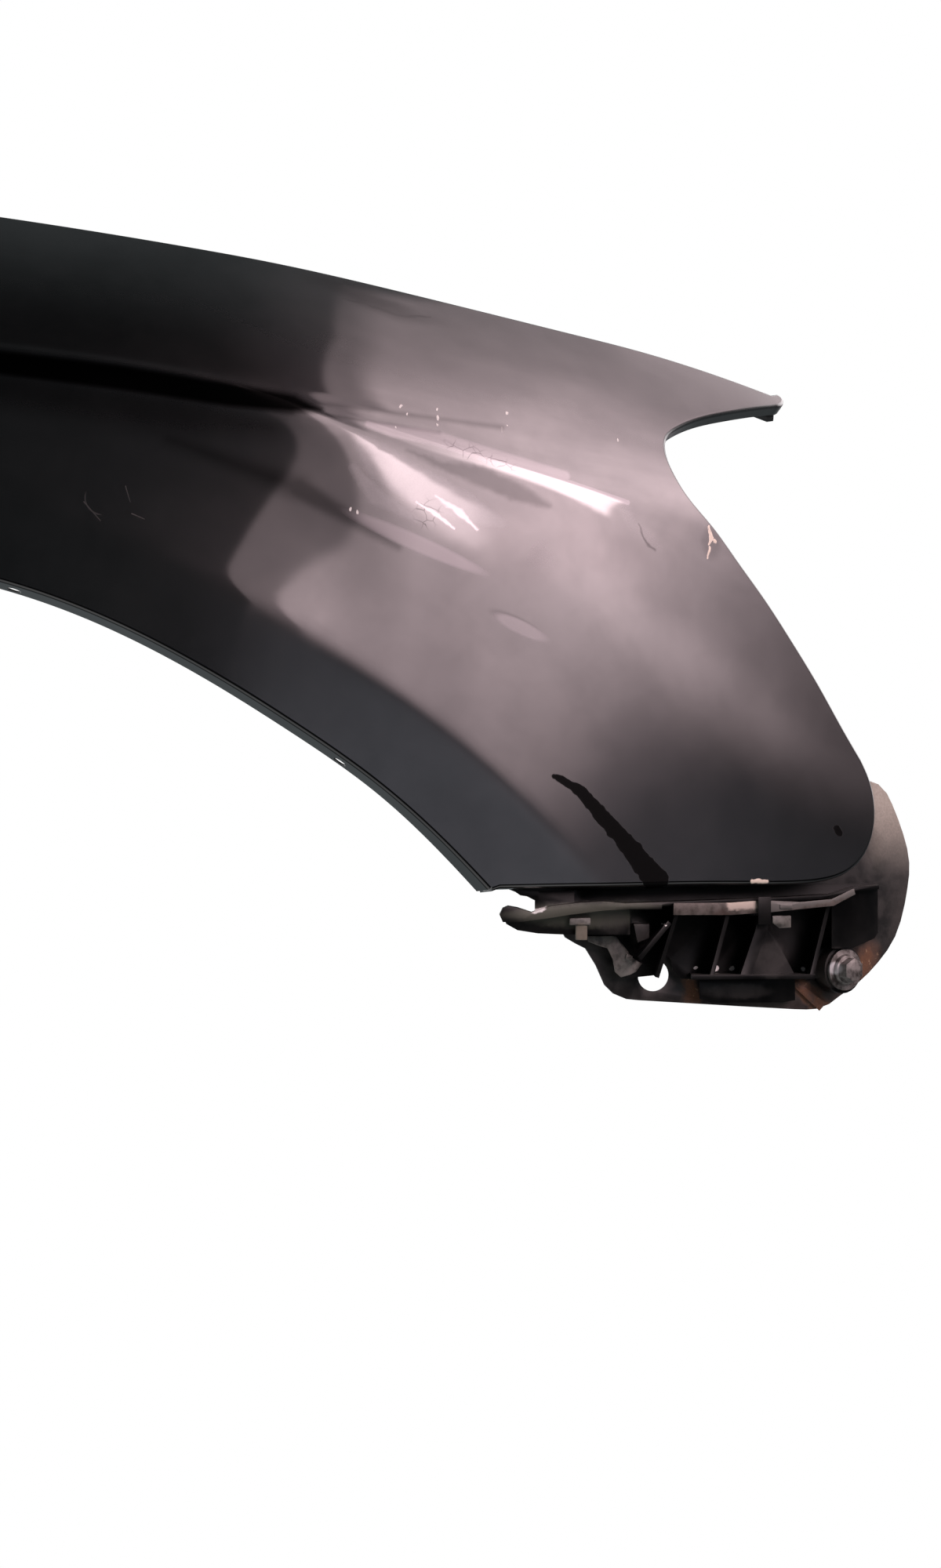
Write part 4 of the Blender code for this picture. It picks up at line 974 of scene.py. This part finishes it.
# =====================================================================================
# Studio
# =====================================================================================
scene = bpy.context.scene
scene.view_settings.view_transform = "Standard"
world = bpy.data.worlds.new("studio")
scene.world = world
world.use_nodes = True
t = Tree(world.node_tree)
t.nodes.clear()

coord = t.nodes.new("ShaderNodeTexCoord")
dx, dy, dz = t.split(coord.outputs["Generated"])
outward = t.math("MULTIPLY", dy, -1.0)
phi = t.math("MULTIPLY", t.math("ARCTAN2", dz, outward), 180 / math.pi)
phi = t.math("MULTIPLY_ADD", t.math("LESS_THAN", phi, -90.0), 360.0, phi)

STEP = (.24, .42, .34)                  # share of the window's light in each of its three panes
XR = (.705, 1.0, .018)
LO, HI = (18.8, 32.5), (82.8, 126.4, .165)
LEVEL, AMB = 5.6, .080


def slide(value, lo, hi, a, b):
    """A straight ramp, held at both ends."""
    node = t.nodes.new("ShaderNodeMapRange")
    for name, v in (("Value", value), ("From Min", lo), ("From Max", hi), ("To Min", a), ("To Max", b)):
        t.plug(node.inputs[name], v)
    return node.outputs["Result"]


def pane(low, mid, crest, high, over, far):
    """Where a pane starts along the car, by height: low down, level, overhead and past it."""
    edge = t.math("ADD", t.smooth(phi, 20, 27, low, mid), t.smooth(phi, 35, 44, 0, crest - mid))
    edge = t.math("ADD", edge, t.smooth(phi, 62, 82, 0, high - crest))
    edge = t.math("ADD", edge, slide(phi, 84, 108, 0, over - high))
    return t.math("ADD", edge, slide(phi, 108, 123, 0, far - over))


first = t.math("SUBTRACT", dx, pane(.30, .340, .462, .428, .330, .250))
second = t.math("SUBTRACT", dx, pane(.375, .408, .485, .460, .345, .258))
wall = t.math("ADD", t.smooth(first, -.004, .004, 0, STEP[0]), t.smooth(second, -.007, .007, 0, STEP[1]))
wall = t.math("ADD", wall, t.smooth(second, -.01, .13, 0, STEP[2]))
wall = t.both(wall, t.smooth(dx, XR[0], XR[1], 1, XR[2]))
tall = t.both(t.smooth(phi, *LO), t.smooth(phi, HI[0], HI[1], 1, HI[2]), t.smooth(phi, 140, 200, 1, 0))


def lamp(x, p, power):
    return t.math("MULTIPLY", t.both(t.smooth(dx, x[0], x[1]), t.smooth(dx, x[2], x[3], 1, 0),
                                     t.smooth(phi, p[0], p[1]), t.smooth(phi, p[2], p[3], 1, 0)), power)


low = t.math("ADD", t.smooth(phi, 28, 36, 0, 1), t.both(t.smooth(phi, 28, 36, 1, 0), t.smooth(dx, .60, .82, .80, 1.4)))
window = t.math("MULTIPLY", t.both(wall, tall, low), LEVEL)
window = t.math("ADD", window, t.math("MULTIPLY", lamp((.48, .50, .74, .75), (45, 49, 61, 64), 9.5),
                                      t.smooth(dx, .52, .66, .18, 1.0)))
window = t.math("ADD", window, lamp((.436, .462, .58, .64), (30.6, 32.0, 34.8, 35.8), 6.8))
window = t.math("MULTIPLY", window, t.smooth(t.noise(coord.outputs["Generated"], 5.0, 3.0), .3, .7, .9, 1.1))
# soft light on the sides the photograph doesn't show
rear = t.both(t.smooth(outward, -.25, -.50), t.smooth(outward, -.93, -.80), t.smooth(dz, -.05, .25), t.smooth(dz, .70, .45))
side = t.both(t.smooth(dx, -.42, -.80), t.smooth(dz, -.62, -.25))
below = t.both(t.smooth(outward, -.10, .20), t.smooth(dz, -.42, -.72))
soft = t.math("ADD", t.math("MULTIPLY", rear, 1.6), t.math("MULTIPLY", side, .9))
soft = t.math("ADD", soft, t.math("MULTIPLY", below, .7))
gloom = t.math("ADD", t.smooth(phi, 50, 80, 1, .4), t.smooth(phi, 86, 120, 0, 1.2))
gloom = t.math("MULTIPLY", t.both(gloom, t.smooth(phi, 0, 22, .10, 1.0)), AMB)
glow = t.both(t.smooth(first, -.08, .08, .20, 1.0), t.smooth(phi, 12, 26, 1, 0), t.smooth(phi, -9, 3),
              t.smooth(dx, .7, 1.0, 1, .2), t.smooth(dx, .22, .40, .45, 1.0))
light = t.vmath("SCALE", (1.08, .845, .880), scale=window)
light = t.vmath("ADD", light, t.vmath("SCALE", (.90, 1.0, 1.04), scale=gloom))
light = t.vmath("ADD", light, t.vmath("SCALE", (.94, .97, 1.10), scale=t.math("MULTIPLY", glow, .55)))
light = t.vmath("ADD", light, t.vmath("SCALE", (1, 1, 1), scale=soft))
path = t.nodes.new("ShaderNodeLightPath")
back, out = t.nodes.new("ShaderNodeBackground"), t.nodes.new("ShaderNodeOutputWorld")
t.plug(back.inputs["Color"], t.mix(path.outputs["Is Camera Ray"], light, (1, 1, 1)))
t.plug(out.inputs["Surface"], back.outputs[0])

# plain white ground, seen by the camera only
ground_mesh = bpy.data.meshes.new("ground")
bm = bmesh.new()
bmesh.ops.create_circle(bm, cap_ends=True, segments=96, radius=30)
bmesh.ops.translate(bm, verts=bm.verts, vec=(0, 0, -.609))
bm.to_mesh(ground_mesh)
bm.free()
ground = bpy.data.objects.new("ground", ground_mesh)
scene.collection.objects.link(ground)
pale = bpy.data.materials.new("pale_ground")
pale.use_nodes = True
pale.node_tree.nodes.clear()
glow, end = pale.node_tree.nodes.new("ShaderNodeEmission"), pale.node_tree.nodes.new("ShaderNodeOutputMaterial")
glow.inputs["Color"].default_value = (1, 1, 1, 1)
pale.node_tree.links.new(glow.outputs[0], end.inputs[0])
ground_mesh.materials.append(pale)
for way in ("visible_diffuse", "visible_glossy", "visible_transmission", "visible_shadow"):
    setattr(ground, way, False)

# camera of the photograph
CAM = (0.2996, (FLANGE_W - 1600) * MM, (-238.7 - FLANGE_Z) * MM)
cam_data = bpy.data.cameras.new("camera")
cam = bpy.data.objects.new("camera", cam_data)
scene.collection.objects.link(cam)
cam.location = CAM
cam.rotation_euler = (math.radians(90), 0, 0)
cam_data.sensor_width = 36
cam_data.lens = 77.14
cam_data.clip_start, cam_data.clip_end = .01, 100
scene.camera = cam
